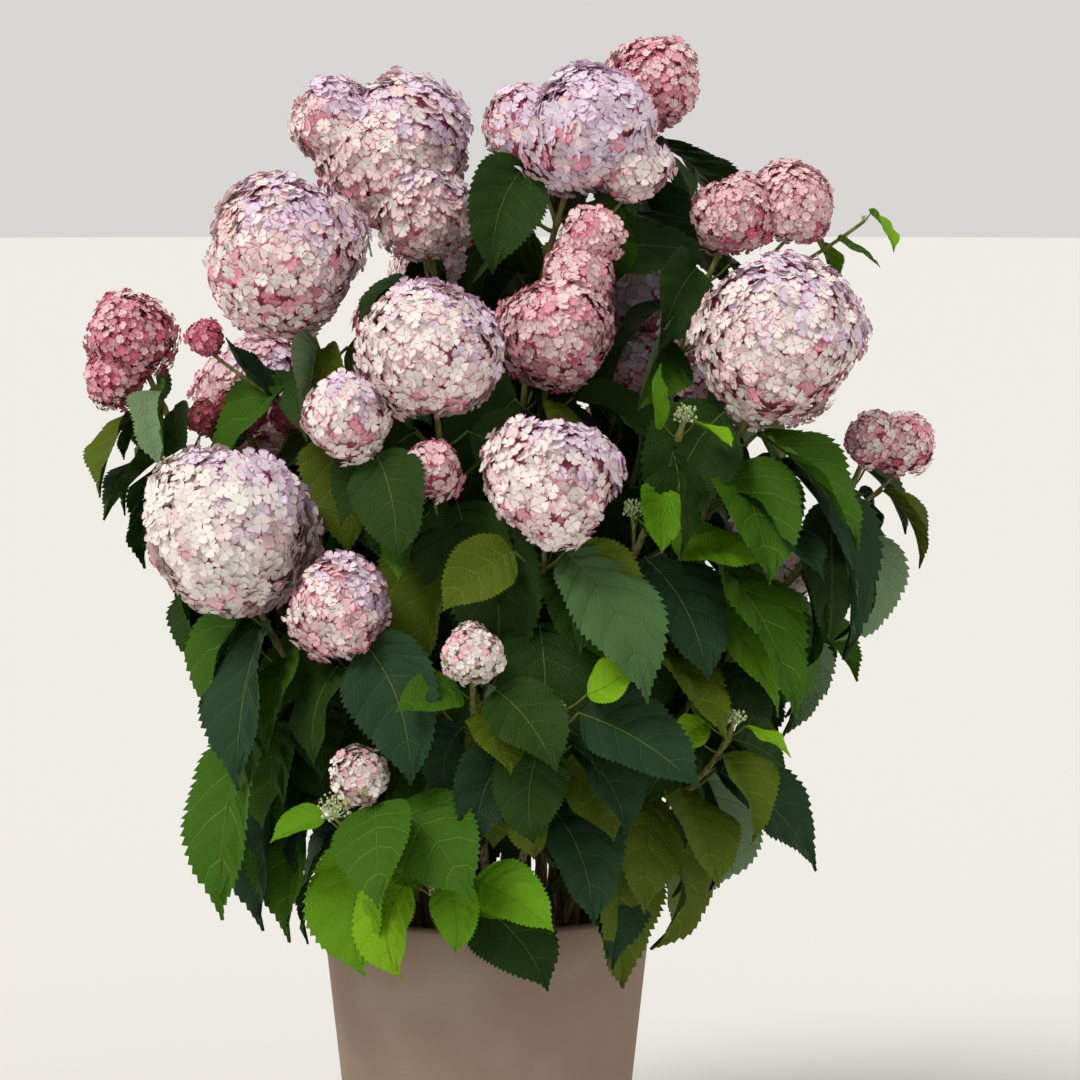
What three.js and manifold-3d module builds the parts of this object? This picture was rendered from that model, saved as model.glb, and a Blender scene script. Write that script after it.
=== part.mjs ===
// Hydrangea shrub in its clay planter, in millimetres with +Z up.
// The origin is the centre of the planter's flat underside, and the plant's front faces -Y.
// Canes rise from the soil. Each carries one leafy shoot that ends in its flower heads.

import * as THREE from "three";
import { mergeVertices } from "three/addons/utils/BufferGeometryUtils.js";
import Module from "manifold-3d";

const wasm = await Module();
wasm.setup();

// Planter: a plain tapering pot with a round lip.
const POT_HEIGHT = 346;
const RIM_RADIUS = 180;
const FOOT_RADIUS = 142;
const WALL = 13;
const FLOOR = 15;
const FOOT_EDGE = 4;
const LIP_STEPS = 4;
const SOIL_TOP = 298;
const TURNS = 32;

// Clearance between pieces that rest on or meet each other.
const GAP = 0.3;

// Canes and shoots.
const CANE_ROOT_RADIUS = 5.6;
const CANE_TIP_RADIUS = 4.4;
const SHOOT_TIP_RADIUS = 3;
const TWIG_ROOT_RADIUS = 2.5;
const TWIG_TIP_RADIUS = 1.9;
const CANE_SIDES = 5;
const SHOOT_SIDES = 3;
const LIMB_STEP = 90;

// Feet on the soil: the nearest and furthest from the axis, and the least distance between two.
const FOOT_NEAR = 20;
const FOOT_FAR = 118;
const FOOT_SPACING = 27;
const FOOT_PASSES = 60;
const CROWN_REACH = 430;
const FOOT_PUSH = 0.3;

// Stems: how they lean and bow, and what they keep clear of.
const HEAD_LEAN = 0.4;
const HEAD_SEAT = 0.4;
const FOOT_RISE = 0.38;
const HEAD_RISE = 0.34;
const ROUTE_POINTS = 24;
const ROUTE_PASSES = 90;
const STEM_CLEARANCE = 17;
const HEAD_CLEARANCE = 11;
const RIM_CLEARANCE = 14;
const HEAD_PUSH = 0.6;
const STEM_PUSH = 0.4;
const OWN_BOW = 0.5;

// Leaves: an ovate blade on a petiole, in pairs that turn a quarter at each joint of the stem.
const BLADE_LENGTH = 146;
const TOP_BLADE = 0.9;
const YOUNG_BLADE_LENGTH = 64;
const BLADE_WIDTH = 0.68;
const BLADE_THICKNESS = 0.022;
const BLADE_FOLD = 0.22;
const WIDEST_LOW = 0.7;
const BLUNTNESS = 0.9;
const PETIOLE = 40;
const PETIOLE_RADIUS = 1.7;
const PETIOLE_OUT = 0.8;
const PETIOLE_UP = 0.5;
const FIRST_JOINT = 26;
const YOUNG_JOINT = 10;
const LAST_JOINT = 28;
const JOINT_SPACING = 84;
const CANE_LEAST = 42;
const HEAD_COVER = 0.62;
const JOINT_SLACK = 0.4;
const JOINT_TRIALS = 120;
const SEEDS = 40;

// The blade's facets: the shares along it of its rim's corners and of its thickest point.
const RIM_LOW = 0.2;
const RIM_HIGH = 0.62;
const THICKEST = 0.42;
const KEEL = 1.6;

// A leaf's bend: its midrib starts and ends at these shares of its droop below the level.
const DROOP_START = 0.45;
const DROOP_END = 1.35;
const TOP_DROOP = 0.8;
const DROOP_STEP = 0.3;
const YOUNG_DROOP = 0.5;
const LEAST_DROOP = 0.05;

// How leaves turn to the light outside and above the crown, and how much each one varies.
const LIGHT_LEAN = 0.75;
const LIGHT_REACH = 260;
const LIGHT_HEIGHT = 0.7;
const LIGHT_ROLL = 0.85;
const SHADE_FACING = 0.2;
const AZIMUTH_PLAY = 0.3;
const ROLL_PLAY = 0.4;
const LENGTH_PLAY = [0.88, 1.12];
const PETIOLE_PLAY = [0.8, 1.3];
const DROOP_PLAY = [0.8, 1.2];

// A leaf that is given by its tip: its blade's share of the way there, and its greatest length.
const BLADE_SHARE = 0.8;
const LONGEST_BLADE = 152;

// The room that a leaf needs, and how it turns aside to find it.
const LEAF_SPACING = 26;
const OWN_LEAF_SPACING = 19;
const LEAF_OFF_POT = 8;
const LEAF_OFF_HEAD = 8;
const LEAF_OFF_OWN_HEAD = 2;
const LEAF_OFF_STEM = 10;
const LEAF_OFF_TWIG = 8;
const SWING_TRIES = [0, 22, -22, 44, -44, 66, -66];
const DROOP_TRIES = [0, 0.3, -0.3, 0.6];

// Flower heads: a lobed core with raised florets; the hollows between them lie at a share of the reach.
const HOLLOW = 0.85;
const CORE_REACH = 0.9;
const MOST_REACH = 1.03;
const LOBES = 4;
const LOBE_SIZE = [0.06, 0.16];
const LOBE_FOCUS = 5;
const FLORET_JITTER = 0.05;
const BUD = 45;
const MIDDLING_HEAD = 78;
const LARGE_HEAD = 125;
const HEAD_GAP = 1.2;
const LEAST_FACING = 0.01;
const BLOOM_REACH = 1.05;

// Side twigs of the smaller heads: how far below its head each starts, and how it bows.
const TWIG_DROP = 30;
const TWIG_SLOPE = 0.45;
const TWIG_LATEST = 0.7;
const TWIG_FIRST = 12;
const TWIG_STEPS = 40;
const TWIG_MIDDLE = 0.55;
const TWIG_BOW = 12;
const TWIG_SAG = 8;
const TWIG_SEAT = 0.5;
const BUD_JOINT = 0.72;
const BUD_TURN = 40;
const TWIG_PARTS = 6;

// The crown's outline: its greatest radius at each height.
const OUTLINE = [
  [230, 265],
  [330, 350],
  [480, 425],
  [700, 470],
  [900, 500],
  [1060, 470],
  [1160, 330],
  [1290, 240],
];

// Each shoot with its heads as [x, y, z, diameter], the main head first, then the smaller ones beside it.
// turn is the direction of its top leaf pair in degrees, and pairs is how many joints carry leaves.
const SHOOTS = [
  { name: "top_centre", turn: 5, pairs: 4,
    heads: [[111, -40, 1188, 158], [39, -20, 1191, 96], [156, -50, 1145, 83]] },
  { name: "top_left", turn: 70, pairs: 4,
    heads: [[-99, 20, 1155, 186], [-166, 10, 1196, 99], [-66, -10, 1098, 120]] },
  { name: "upper_left", turn: 20, pairs: 4, heads: [[-215, -90, 1054, 193], [-298, -60, 965, 47]] },
  { name: "right", turn: 60, pairs: 4, heads: [[305, -170, 970, 196]] },
  { name: "middle", turn: 30, pairs: 4,
    heads: [[-56, -220, 960, 171], [-143, -235, 893, 99], [-54, -235, 837, 68]] },
  { name: "left", turn: 35, pairs: 4, heads: [[-267, -190, 770, 209]] },
  { name: "centre", turn: 95, pairs: 4, heads: [[71, -270, 828, 154]] },
  { name: "upper_centre", turn: 0, pairs: 4,
    heads: [[79, -100, 973, 144], [114, -84, 1074, 75], [97, -90, 1030, 83]] },
  { name: "top_right", turn: 30, pairs: 4, heads: [[184, 110, 1234, 121]] },
  { name: "right_back", turn: 90, pairs: 4,
    heads: [[267, -20, 1095, 102], [332, -10, 1105, 102], [407, -10, 1091, 11]] },
  { name: "far_left", turn: 80, pairs: 4, heads: [[-381, -20, 966, 113], [-399, -20, 920, 82]] },
  { name: "far_right", turn: 60, pairs: 4, heads: [[413, -60, 856, 68], [448, -60, 853, 73]] },
  { name: "left_small", turn: 120, pairs: 4, heads: [[-150, -240, 694, 116]] },
  { name: "low_centre", turn: 50, pairs: 3, heads: [[-12, -290, 651, 74]] },
  { name: "low_left", turn: 10, pairs: 3, heads: [[-129, -260, 520, 70], [-154, -270, 489, 39]] },
  { name: "bud_right", turn: 20, pairs: 5, heads: [[209, -200, 891, 29], [153, -230, 795, 25]] },
  { name: "bud_low_right", turn: 30, pairs: 3, heads: [[262, -200, 574, 25]] },
  { name: "rim_front", turn: 0, pairs: 2, heads: [[-48, -235, 401, 27]] },
  { name: "front_young", turn: 85, pairs: 3, heads: [[75, -285, 594, 24]] },
  { name: "rim_left", turn: 60, pairs: 3, heads: [[-230, -120, 560, 24]] },
  { name: "inner_right", turn: 10, pairs: 4,
    heads: [[181, 90, 999, 115], [164, 60, 915, 79], [232, 20, 898, 95]] },
  { name: "inner_left", turn: 80, pairs: 4,
    heads: [[-266, 0, 882, 65], [-303, -10, 876, 45], [-209, -20, 880, 50]] },
  { name: "low_right", turn: 45, pairs: 3, heads: [[327, 60, 715, 103], [289, 70, 742, 66]] },
  { name: "back_top", turn: 30, pairs: 4, heads: [[-30, 200, 1020, 178], [-110, 190, 965, 90]] },
  { name: "back_left", turn: 60, pairs: 4, heads: [[-255, 225, 880, 176], [-170, 300, 800, 84]] },
  { name: "back_right", turn: 15, pairs: 4, heads: [[240, 250, 900, 184], [150, 320, 850, 92]] },
  { name: "back_low", turn: 70, pairs: 4, heads: [[-20, 370, 760, 150], [90, 350, 700, 70]] },
  { name: "rim_back", turn: 25, pairs: 3, heads: [[40, 250, 520, 24]] },
];

// Leaves that show most: their shoot, the height of their joint, and the place of their tip.
const SHOWN_LEAVES = [
  ["left", 680, [-399, -190, 604]],
  ["left", 735, [-340, -200, 640]],
  ["left", 665, [-298, -235, 555]],
  ["left", 690, [-212, -265, 606]],
  ["left", 650, [-254, -255, 505]],
  ["left_small", 640, [-161, -270, 506]],
  ["left_small", 655, [-84, -290, 570]],
  ["low_centre", 600, [-98, -290, 574]],
  ["rim_left", 535, [-311, -200, 365]],
  ["rim_left", 545, [-224, -220, 452]],
  ["low_left", 500, [-218, -240, 425]],
  ["rim_left", 481, [-262, -190, 358]],
  ["rim_left", 466, [-222, -212, 352]],
  ["low_left", 412, [-172, -192, 308]],
  ["rim_front", 396, [-113, -252, 432]],
  ["rim_front", 390, [-106, -264, 308]],
  ["rim_front", 395, [-30, -268, 338]],
  ["rim_front", 385, [72, -280, 362]],
  ["rim_front", 372, [66, -218, 288]],
  ["middle", 760, [62, -290, 650]],
  ["middle", 840, [-90, -275, 744]],
  ["centre", 730, [167, -320, 604]],
  ["centre", 704, [128, -250, 634]],
  ["centre", 763, [71, -302, 700]],
  ["low_centre", 640, [-26, -297, 724]],
  ["low_centre", 636, [30, -312, 570]],
  ["low_centre", 562, [-34, -242, 495]],
  ["front_young", 588, [163, -302, 656]],
  ["front_young", 572, [222, -312, 514]],
  ["front_young", 548, [52, -292, 456]],
  ["front_young", 520, [134, -252, 452]],
  ["front_young", 470, [113, -258, 366]],
  ["bud_right", 640, [250, -248, 556]],
  ["bud_low_right", 525, [280, -218, 446]],
  ["bud_low_right", 480, [242, -272, 406]],
  ["bud_low_right", 470, [158, -256, 390]],
  ["bud_low_right", 440, [136, -228, 294]],
  ["bud_low_right", 425, [176, -216, 312]],
  ["right", 707, [323, -218, 576]],
  ["right", 660, [308, -165, 570]],
  ["bud_right", 862, [183, -217, 946]],
  ["right", 872, [168, -226, 782]],
  ["right", 884, [279, -202, 818]],
  ["right", 846, [388, -226, 752]],
  ["right", 864, [386, -140, 800]],
  ["far_right", 792, [463, -75, 719]],
  ["right", 790, [432, -176, 652]],
  ["bud_right", 796, [217, -252, 764]],
  ["bud_right", 727, [281, -237, 736]],
  ["bud_right", 722, [232, -226, 616]],
  ["far_left", 868, [-410, -90, 796]],
  ["far_left", 830, [-404, -112, 774]],
  ["upper_left", 980, [-322, -172, 856]],
  ["upper_left", 890, [-276, -75, 966]],
  ["far_left", 890, [-421, -50, 850]],
  ["top_centre", 1134, [-12, -110, 1050]],
  ["top_centre", 1072, [0, -122, 978]],
  ["top_centre", 1052, [-60, -52, 1014]],
  ["top_centre", 1046, [250, -92, 1054]],
  ["upper_centre", 940, [222, -138, 936]],
  ["right_back", 1085, [409, -16, 1128]],
  ["right_back", 1082, [471, -26, 1068]],
];

const UP = new THREE.Vector3(0, 0, 1);
const LEAF_GREEN = new THREE.Color(0x3c6426);
const STEM_GREEN = new THREE.Color(0x7b7a45);
const BLOSSOM = new THREE.Color(0xe6c4bf);

const radians = THREE.MathUtils.degToRad;
const lerp = THREE.MathUtils.lerp;
const vector = (x, y, z) => new THREE.Vector3(x, y, z);

// A seeded number from 0 to 1 for each pair of whole numbers, whatever the order of growth.
function chance(a, b) {
  const wave = Math.sin(a * 127.1 + b * 311.7) * 43758.5453;
  return wave - Math.floor(wave);
}

// The level way out from the plant's axis at a point.
function outward(point) {
  const level = vector(point.x, point.y, 0);
  return level.length() > 1 ? level.normalize() : vector(0, -1, 0);
}

// The value of a table of [height, value] rows at a height, on straight lines between the rows.
function tableAt(table, height) {
  const above = table.findIndex(([level]) => level > height);
  if (above === 0) return table[0][1];
  if (above < 0) return table[table.length - 1][1];
  const [[z0, r0], [z1, r1]] = [table[above - 1], table[above]];
  return r0 + ((r1 - r0) * (height - z0)) / (z1 - z0);
}

// The pot's outer radius at a height.
function potRadius(height) {
  return FOOT_RADIUS + ((RIM_RADIUS - FOOT_RADIUS) * height) / POT_HEIGHT;
}

// A closed solid from a geometry whose shared vertices are merged.
function solidOf(geometry) {
  const bare = new THREE.BufferGeometry();
  bare.setAttribute("position", geometry.getAttribute("position"));
  bare.setIndex(geometry.index);
  const merged = mergeVertices(bare);
  return new wasm.Manifold(
    new wasm.Mesh({
      numProp: 3,
      vertProperties: merged.attributes.position.array,
      triVerts: new Uint32Array(merged.index.array),
    }),
  );
}

// The largest closed surface of a solid: loose scraps are dropped and sealed hollows are filled.
function mainBody(solid) {
  return solid.decompose().reduce((best, body) => (body.volume() > best.volume() ? body : best));
}

function geometryOf(solid) {
  const mesh = solid.getMesh();
  const geometry = new THREE.BufferGeometry();
  geometry.setAttribute("position", new THREE.BufferAttribute(mesh.vertProperties, 3));
  geometry.setIndex(new THREE.BufferAttribute(mesh.triVerts, 1));
  return geometry;
}

// Planter

function lathe(profile) {
  const geometry = new THREE.LatheGeometry(profile, TURNS);
  return geometry.rotateX(Math.PI / 2);
}

function potGeometry() {
  const lipRadius = WALL / 2;
  const lipHeight = POT_HEIGHT - lipRadius;
  const lipCentre = RIM_RADIUS - lipRadius;
  const profile = [
    new THREE.Vector2(0, 0),
    new THREE.Vector2(FOOT_RADIUS - FOOT_EDGE, 0),
    new THREE.Vector2(potRadius(FOOT_EDGE), FOOT_EDGE),
    new THREE.Vector2(potRadius(POT_HEIGHT / 2), POT_HEIGHT / 2),
  ];
  for (let step = 0; step <= LIP_STEPS; step++) {
    const angle = (Math.PI * step) / LIP_STEPS;
    profile.push(
      new THREE.Vector2(
        lipCentre + lipRadius * Math.cos(angle),
        lipHeight + lipRadius * Math.sin(angle),
      ),
    );
  }
  profile.push(new THREE.Vector2(potRadius(FLOOR) - WALL, FLOOR), new THREE.Vector2(0, FLOOR));
  return lathe(profile);
}

function soilGeometry() {
  const bottom = FLOOR + GAP;
  const inner = (height) => potRadius(height) - WALL - 2 * GAP;
  return lathe([
    new THREE.Vector2(0, bottom),
    new THREE.Vector2(inner(bottom), bottom),
    new THREE.Vector2(inner(SOIL_TOP), SOIL_TOP),
    new THREE.Vector2(0, SOIL_TOP),
  ]);
}

// Stems

// Each cane's foot lies on the side of its head, spaced from its neighbours on the soil.
function plantFeet() {
  const feet = SHOOTS.map(({ heads: [[x, y]] }) => {
    const reach = Math.hypot(x, y);
    const radius = FOOT_NEAR + (FOOT_FAR - FOOT_NEAR) * Math.min(1, reach / CROWN_REACH);
    return vector((x / reach) * radius, (y / reach) * radius, SOIL_TOP + GAP);
  });
  for (let pass = 0; pass < FOOT_PASSES; pass++) {
    const before = feet.map((foot) => foot.clone());
    feet.forEach((foot, i) => {
      before.forEach((other, j) => {
        const apart = before[i].clone().sub(other);
        const distance = apart.length();
        if (i === j || distance > FOOT_SPACING) return;
        foot.addScaledVector(apart, (FOOT_PUSH * (FOOT_SPACING - distance)) / Math.max(distance, 1));
      });
      const radius = Math.hypot(foot.x, foot.y);
      const shrink = Math.min(1, FOOT_FAR / radius);
      foot.x *= shrink;
      foot.y *= shrink;
    });
  }
  return feet;
}

// The stem's way from its foot: straight up at first, then out and up into the underside of its head.
function firstRoute(foot, head) {
  const lean = outward(head.centre).multiplyScalar(HEAD_LEAN).add(UP).normalize();
  const end = head.centre.clone().addScaledVector(lean, -HEAD_SEAT * head.radius);
  const rise = end.distanceTo(foot);
  const curve = new THREE.CubicBezierCurve3(
    foot,
    foot.clone().addScaledVector(UP, FOOT_RISE * rise),
    end.clone().addScaledVector(lean, -HEAD_RISE * rise),
    end,
  );
  return curve.getPoints(ROUTE_POINTS - 1);
}

function nearestOnSegment(point, a, b) {
  const along = b.clone().sub(a);
  const share = THREE.MathUtils.clamp(point.clone().sub(a).dot(along) / along.lengthSq(), 0, 1);
  return a.clone().addScaledVector(along, share);
}

function nearestOnRoute(point, route) {
  let best = route[0];
  let least = Infinity;
  for (let k = 1; k < route.length; k++) {
    const near = nearestOnSegment(point, route[k - 1], route[k]);
    const distance = near.distanceTo(point);
    if (distance < least) {
      least = distance;
      best = near;
    }
  }
  return best;
}

// The stems bow aside, smoothly, until each passes clear of the other stems, heads and the pot's rim.
function settleRoutes(routes, heads) {
  const rest = routes.map((route) => route.map((point) => point.clone()));
  for (let pass = 0; pass < ROUTE_PASSES; pass++) {
    const before = routes.map((route) => route.map((point) => point.clone()));
    const offset = (i, k) => before[i][k].clone().sub(rest[i][k]);
    routes.forEach((route, i) => {
      for (let k = 2; k < route.length - 1; k++) {
        const bow = offset(i, k).multiplyScalar(OWN_BOW);
        bow.addScaledVector(offset(i, k - 1).add(offset(i, k + 1)), (1 - OWN_BOW) / 2);
        const point = rest[i][k].clone().add(bow);
        heads.forEach((head) => {
          if (head.shoot === i) return;
          const apart = before[i][k].clone().sub(head.centre);
          const short = head.radius + HEAD_CLEARANCE - apart.length();
          if (short > 0) point.addScaledVector(apart.normalize(), HEAD_PUSH * short);
        });
        before.forEach((other, j) => {
          if (i === j) return;
          const apart = before[i][k].clone().sub(nearestOnRoute(before[i][k], other));
          const short = STEM_CLEARANCE - apart.length();
          if (short <= 0 || apart.length() === 0) return;
          point.addScaledVector(apart.normalize(), STEM_PUSH * short);
        });
        const overRim = Math.hypot(point.x, point.y) > RIM_RADIUS - WALL - RIM_CLEARANCE;
        if (overRim) point.z = Math.max(point.z, POT_HEIGHT + RIM_CLEARANCE);
        route[k].copy(point);
      }
    });
  }
}

// A tapering limb: a closed cylinder bent onto a stretch of a curve, and cut level at the curve's start.
// Its section turns about the level line square to the way the limb leans.
function limb(curve, from, to, rootRadius, tipRadius, sides, steps) {
  const geometry = new THREE.CylinderGeometry(tipRadius, rootRadius, 1, sides, steps);
  const lean = curve.getPointAt(to).sub(curve.getPointAt(from));
  const level = outward(lean).cross(UP);
  const place = geometry.getAttribute("position");
  for (let i = 0; i < place.count; i++) {
    const share = from + (to - from) * (place.getY(i) + 0.5);
    const along = share === 0 ? UP.clone() : curve.getTangentAt(share);
    const first = level.clone().addScaledVector(along, -level.dot(along)).normalize();
    const second = first.clone().cross(along);
    const point = curve.getPointAt(share);
    point.addScaledVector(first, place.getX(i)).addScaledVector(second, place.getZ(i));
    place.setXYZ(i, point.x, point.y, point.z);
  }
  return geometry;
}

// Flower heads

// How far a head reaches along a direction: a ball with seeded lobes, flattened where other heads press.
function headReach(head, direction) {
  let reach = CORE_REACH;
  head.lobes.forEach(({ way, size }) => {
    reach += size * Math.exp(LOBE_FOCUS * (way.dot(direction) - 1));
  });
  let radius = head.radius * Math.min(MOST_REACH, reach);
  head.presses.forEach(({ way, distance }) => {
    const facing = way.dot(direction);
    if (facing > LEAST_FACING) radius = Math.min(radius, distance / facing);
  });
  return radius;
}

function makeHeads() {
  const heads = [];
  SHOOTS.forEach((shoot, index) => {
    shoot.heads.forEach(([x, y, z, diameter], rank) => {
      const seed = heads.length;
      const lobes = [];
      for (let k = 0; k < LOBES; k++) {
        const height = 2 * chance(seed, 10 + k) - 1;
        const turn = 2 * Math.PI * chance(seed, 20 + k);
        const level = Math.sqrt(1 - height * height);
        const way = vector(level * Math.cos(turn), level * Math.sin(turn), height);
        lobes.push({ way, size: lerp(...LOBE_SIZE, chance(seed, 30 + k)) });
      }
      heads.push({ shoot: index, rank, centre: vector(x, y, z), radius: diameter / 2, seed, lobes });
    });
  });
  heads.forEach((head) => {
    head.presses = heads
      .filter((other) => other.shoot !== head.shoot)
      .map((other) => {
        const apart = other.centre.clone().sub(head.centre);
        const share = head.radius / (head.radius + other.radius);
        return { way: apart.clone().normalize(), distance: share * apart.length() - HEAD_GAP };
      });
  });
  return heads;
}

// A head's florets are the corners of a geodesic ball, and its hollows are the middles of the faces.
function headGeometry(head) {
  let ball = new THREE.OctahedronGeometry(1, 0);
  if (head.radius > BUD / 2) ball = new THREE.IcosahedronGeometry(1, 0);
  if (head.radius > MIDDLING_HEAD / 2) ball = new THREE.OctahedronGeometry(1, 1);
  if (head.radius > LARGE_HEAD / 2) ball = new THREE.IcosahedronGeometry(1, 1);
  ball.deleteAttribute("normal");
  ball.deleteAttribute("uv");
  ball.rotateX(chance(head.seed, 1) * Math.PI).rotateZ(chance(head.seed, 2) * Math.PI);
  const merged = mergeVertices(ball);
  const corners = merged.getAttribute("position");
  const index = merged.index.array;
  const points = [];
  const place = (direction, share) => {
    const point = direction.clone().multiplyScalar(share * headReach(head, direction));
    points.push(point.add(head.centre));
  };
  for (let i = 0; i < corners.count; i++) {
    const share = 1 - FLORET_JITTER * chance(head.seed, 50 + i);
    place(vector().fromBufferAttribute(corners, i).normalize(), share);
  }
  const hollowLeftOf = new Map();
  for (let f = 0; f < index.length; f += 3) {
    const face = [index[f], index[f + 1], index[f + 2]];
    face.forEach((a, side) => hollowLeftOf.set(`${a} ${face[(side + 1) % 3]}`, points.length));
    const middle = vector(0, 0, 0);
    face.forEach((a) => middle.add(vector().fromBufferAttribute(corners, a)));
    place(middle.normalize(), HOLLOW);
  }
  const faces = [];
  hollowLeftOf.forEach((left, edge) => {
    const [a, b] = edge.split(" ");
    faces.push(Number(a), hollowLeftOf.get(`${b} ${a}`), left);
  });
  const geometry = new THREE.BufferGeometry().setFromPoints(points);
  return geometry.setIndex(faces);
}

// Leaves

// The blade's half width along its midrib, as a share of its greatest: ovate, widest below the middle.
function bladeProfile(along) {
  return Math.pow(Math.sin(Math.PI * Math.pow(along, WIDEST_LOW)), BLUNTNESS);
}

// A leaf's petiole rises from its joint to the foot of the blade.
function leafFrame(leaf) {
  const out = vector(Math.cos(leaf.azimuth), Math.sin(leaf.azimuth), 0);
  const across = UP.clone().cross(out);
  const base = leaf.joint.clone().addScaledVector(out, PETIOLE_OUT * leaf.petiole);
  base.addScaledVector(UP, PETIOLE_UP * leaf.petiole);
  return { out, across, base };
}

// The midrib bends down along an arc, and the blade folds up along it and rolls about it.
// The returned function gives the point at a share along the midrib and a share across, and the normal.
function leafSurface(leaf) {
  const { out, across, base } = leafFrame(leaf);
  const start = -DROOP_START * leaf.droop;
  const bend = (DROOP_START - DROOP_END) * leaf.droop;
  const [cosRoll, sinRoll] = [Math.cos(leaf.roll), Math.sin(leaf.roll)];
  return (along, side) => {
    const angle = start + bend * along;
    const flat = (leaf.length * (Math.sin(angle) - Math.sin(start))) / bend;
    const rise = (leaf.length * (Math.cos(start) - Math.cos(angle))) / bend;
    const normal = UP.clone().multiplyScalar(Math.cos(angle)).addScaledVector(out, -Math.sin(angle));
    const edge = across.clone().multiplyScalar(cosRoll).addScaledVector(normal, sinRoll);
    const face = normal.multiplyScalar(cosRoll).addScaledVector(across, -sinRoll);
    const half = 0.5 * leaf.length * BLADE_WIDTH * bladeProfile(along);
    const point = base.clone().addScaledVector(out, flat).addScaledVector(UP, rise);
    point.addScaledVector(edge, side * half).addScaledVector(face, BLADE_FOLD * Math.abs(side) * half);
    return { point, edge, face };
  };
}

// The roll that turns the middle of a blade's face to the light outside and above the crown.
function rollToLight(leaf) {
  const { out, across } = leafFrame(leaf);
  const angle = -0.5 * (DROOP_START + DROOP_END) * leaf.droop;
  const normal = UP.clone().multiplyScalar(Math.cos(angle)).addScaledVector(out, -Math.sin(angle));
  const light = outward(leaf.joint).addScaledVector(UP, LIGHT_HEIGHT).normalize();
  const facing = Math.max(SHADE_FACING, normal.dot(light));
  return LIGHT_ROLL * Math.atan2(-across.dot(light), facing);
}

// A blade of two folded layers that meet along its rim, on a three-sided petiole.
function leafGeometry(leaf) {
  const surface = leafSurface(leaf);
  const { point: base, edge, face } = surface(0, 0);
  const ring = (centre) => [
    centre.clone().addScaledVector(edge, PETIOLE_RADIUS),
    centre.clone().addScaledVector(edge, -PETIOLE_RADIUS),
    centre.clone().addScaledVector(face, -KEEL * PETIOLE_RADIUS),
  ];
  const middle = surface(THICKEST, 0);
  const half = 0.5 * BLADE_THICKNESS * leaf.length;
  const points = [
    ...ring(leaf.joint),
    ...ring(base),
    surface(RIM_LOW, 1).point,
    surface(RIM_HIGH, 1).point,
    surface(RIM_LOW, -1).point,
    surface(RIM_HIGH, -1).point,
    surface(1, 0).point,
    middle.point.clone().addScaledVector(middle.face, half),
    middle.point.clone().addScaledVector(middle.face, -half),
  ];
  const [rootL, rootR, rootB, baseL, baseR, baseB, ...blade] = points.keys();
  const [left1, left2, right1, right2, tip, top, under] = blade;
  const faces = [
    [rootL, rootB, rootR],
    [rootL, rootR, baseR], [rootL, baseR, baseL],
    [rootL, baseL, baseB], [rootL, baseB, rootB],
    [rootR, rootB, baseB], [rootR, baseB, baseR],
    [baseL, baseR, top],
    [baseL, top, left1], [left1, top, left2], [left2, top, tip],
    [baseR, right1, top], [right1, right2, top], [right2, tip, top],
    [baseL, left1, under], [left1, left2, under], [left2, tip, under],
    [baseR, under, right1], [right1, under, right2], [right2, under, tip],
    [baseL, under, baseB], [baseR, baseB, under],
  ];
  const geometry = new THREE.BufferGeometry().setFromPoints(points);
  return geometry.setIndex(faces.flat());
}

// The points of a leaf that are tested for room.
function leafSamples(leaf) {
  const surface = leafSurface(leaf);
  const samples = [surface(1, 0).point];
  for (const along of [0.1, 0.35, 0.6, 0.85]) {
    for (const side of [-0.75, 0, 0.75]) samples.push(surface(along, side).point);
  }
  return samples;
}

// Growth

const heads = makeHeads();
const feet = plantFeet();
const routes = SHOOTS.map((shoot, i) => {
  const head = heads.find(({ shoot: owner, rank }) => owner === i && rank === 0);
  return firstRoute(feet[i], head);
});
settleRoutes(routes, heads);

const grown = { samples: [], twigs: [] };

// Whether a leaf keeps clear of the heads, stems, twigs, pot and other leaves, and inside the outline.
function hasRoom(leaf, shoot) {
  const clears = (own, near, far) => (own === shoot ? near : far);
  return leafSamples(leaf).every((point) => {
    const radius = Math.hypot(point.x, point.y);
    if (radius > tableAt(OUTLINE, point.z)) return false;
    if (point.z < POT_HEIGHT + LEAF_OFF_POT && radius < potRadius(point.z) + LEAF_OFF_POT) return false;
    const offHeads = heads.every((head) => {
      const room = clears(head.shoot, LEAF_OFF_OWN_HEAD, LEAF_OFF_HEAD);
      return point.distanceTo(head.centre) > head.radius + room;
    });
    if (!offHeads) return false;
    const offStems = routes.every(
      (route, i) => i === shoot || nearestOnRoute(point, route).distanceTo(point) > LEAF_OFF_STEM,
    );
    if (!offStems) return false;
    const offTwigs = grown.twigs.every(
      (twig) => twig.shoot === shoot || nearestOnRoute(point, twig.points).distanceTo(point) > LEAF_OFF_TWIG,
    );
    if (!offTwigs) return false;
    return grown.samples.every(
      (other) => point.distanceTo(other.point) > clears(other.shoot, OWN_LEAF_SPACING, LEAF_SPACING),
    );
  });
}

// A leaf turns aside until it finds room, and is left out where it finds none.
function settleLeaf(leaf, shoot, isClear = () => true) {
  for (const swing of SWING_TRIES) {
    for (const drop of DROOP_TRIES) {
      const turned = { ...leaf, azimuth: leaf.azimuth + radians(swing), droop: leaf.droop + drop };
      turned.roll = rollToLight(turned) + leaf.play;
      if (hasRoom(turned, shoot) && isClear(turned)) {
        leafSamples(turned).forEach((point) => grown.samples.push({ point, shoot, leaf: turned }));
        return turned;
      }
    }
  }
  return null;
}

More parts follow.
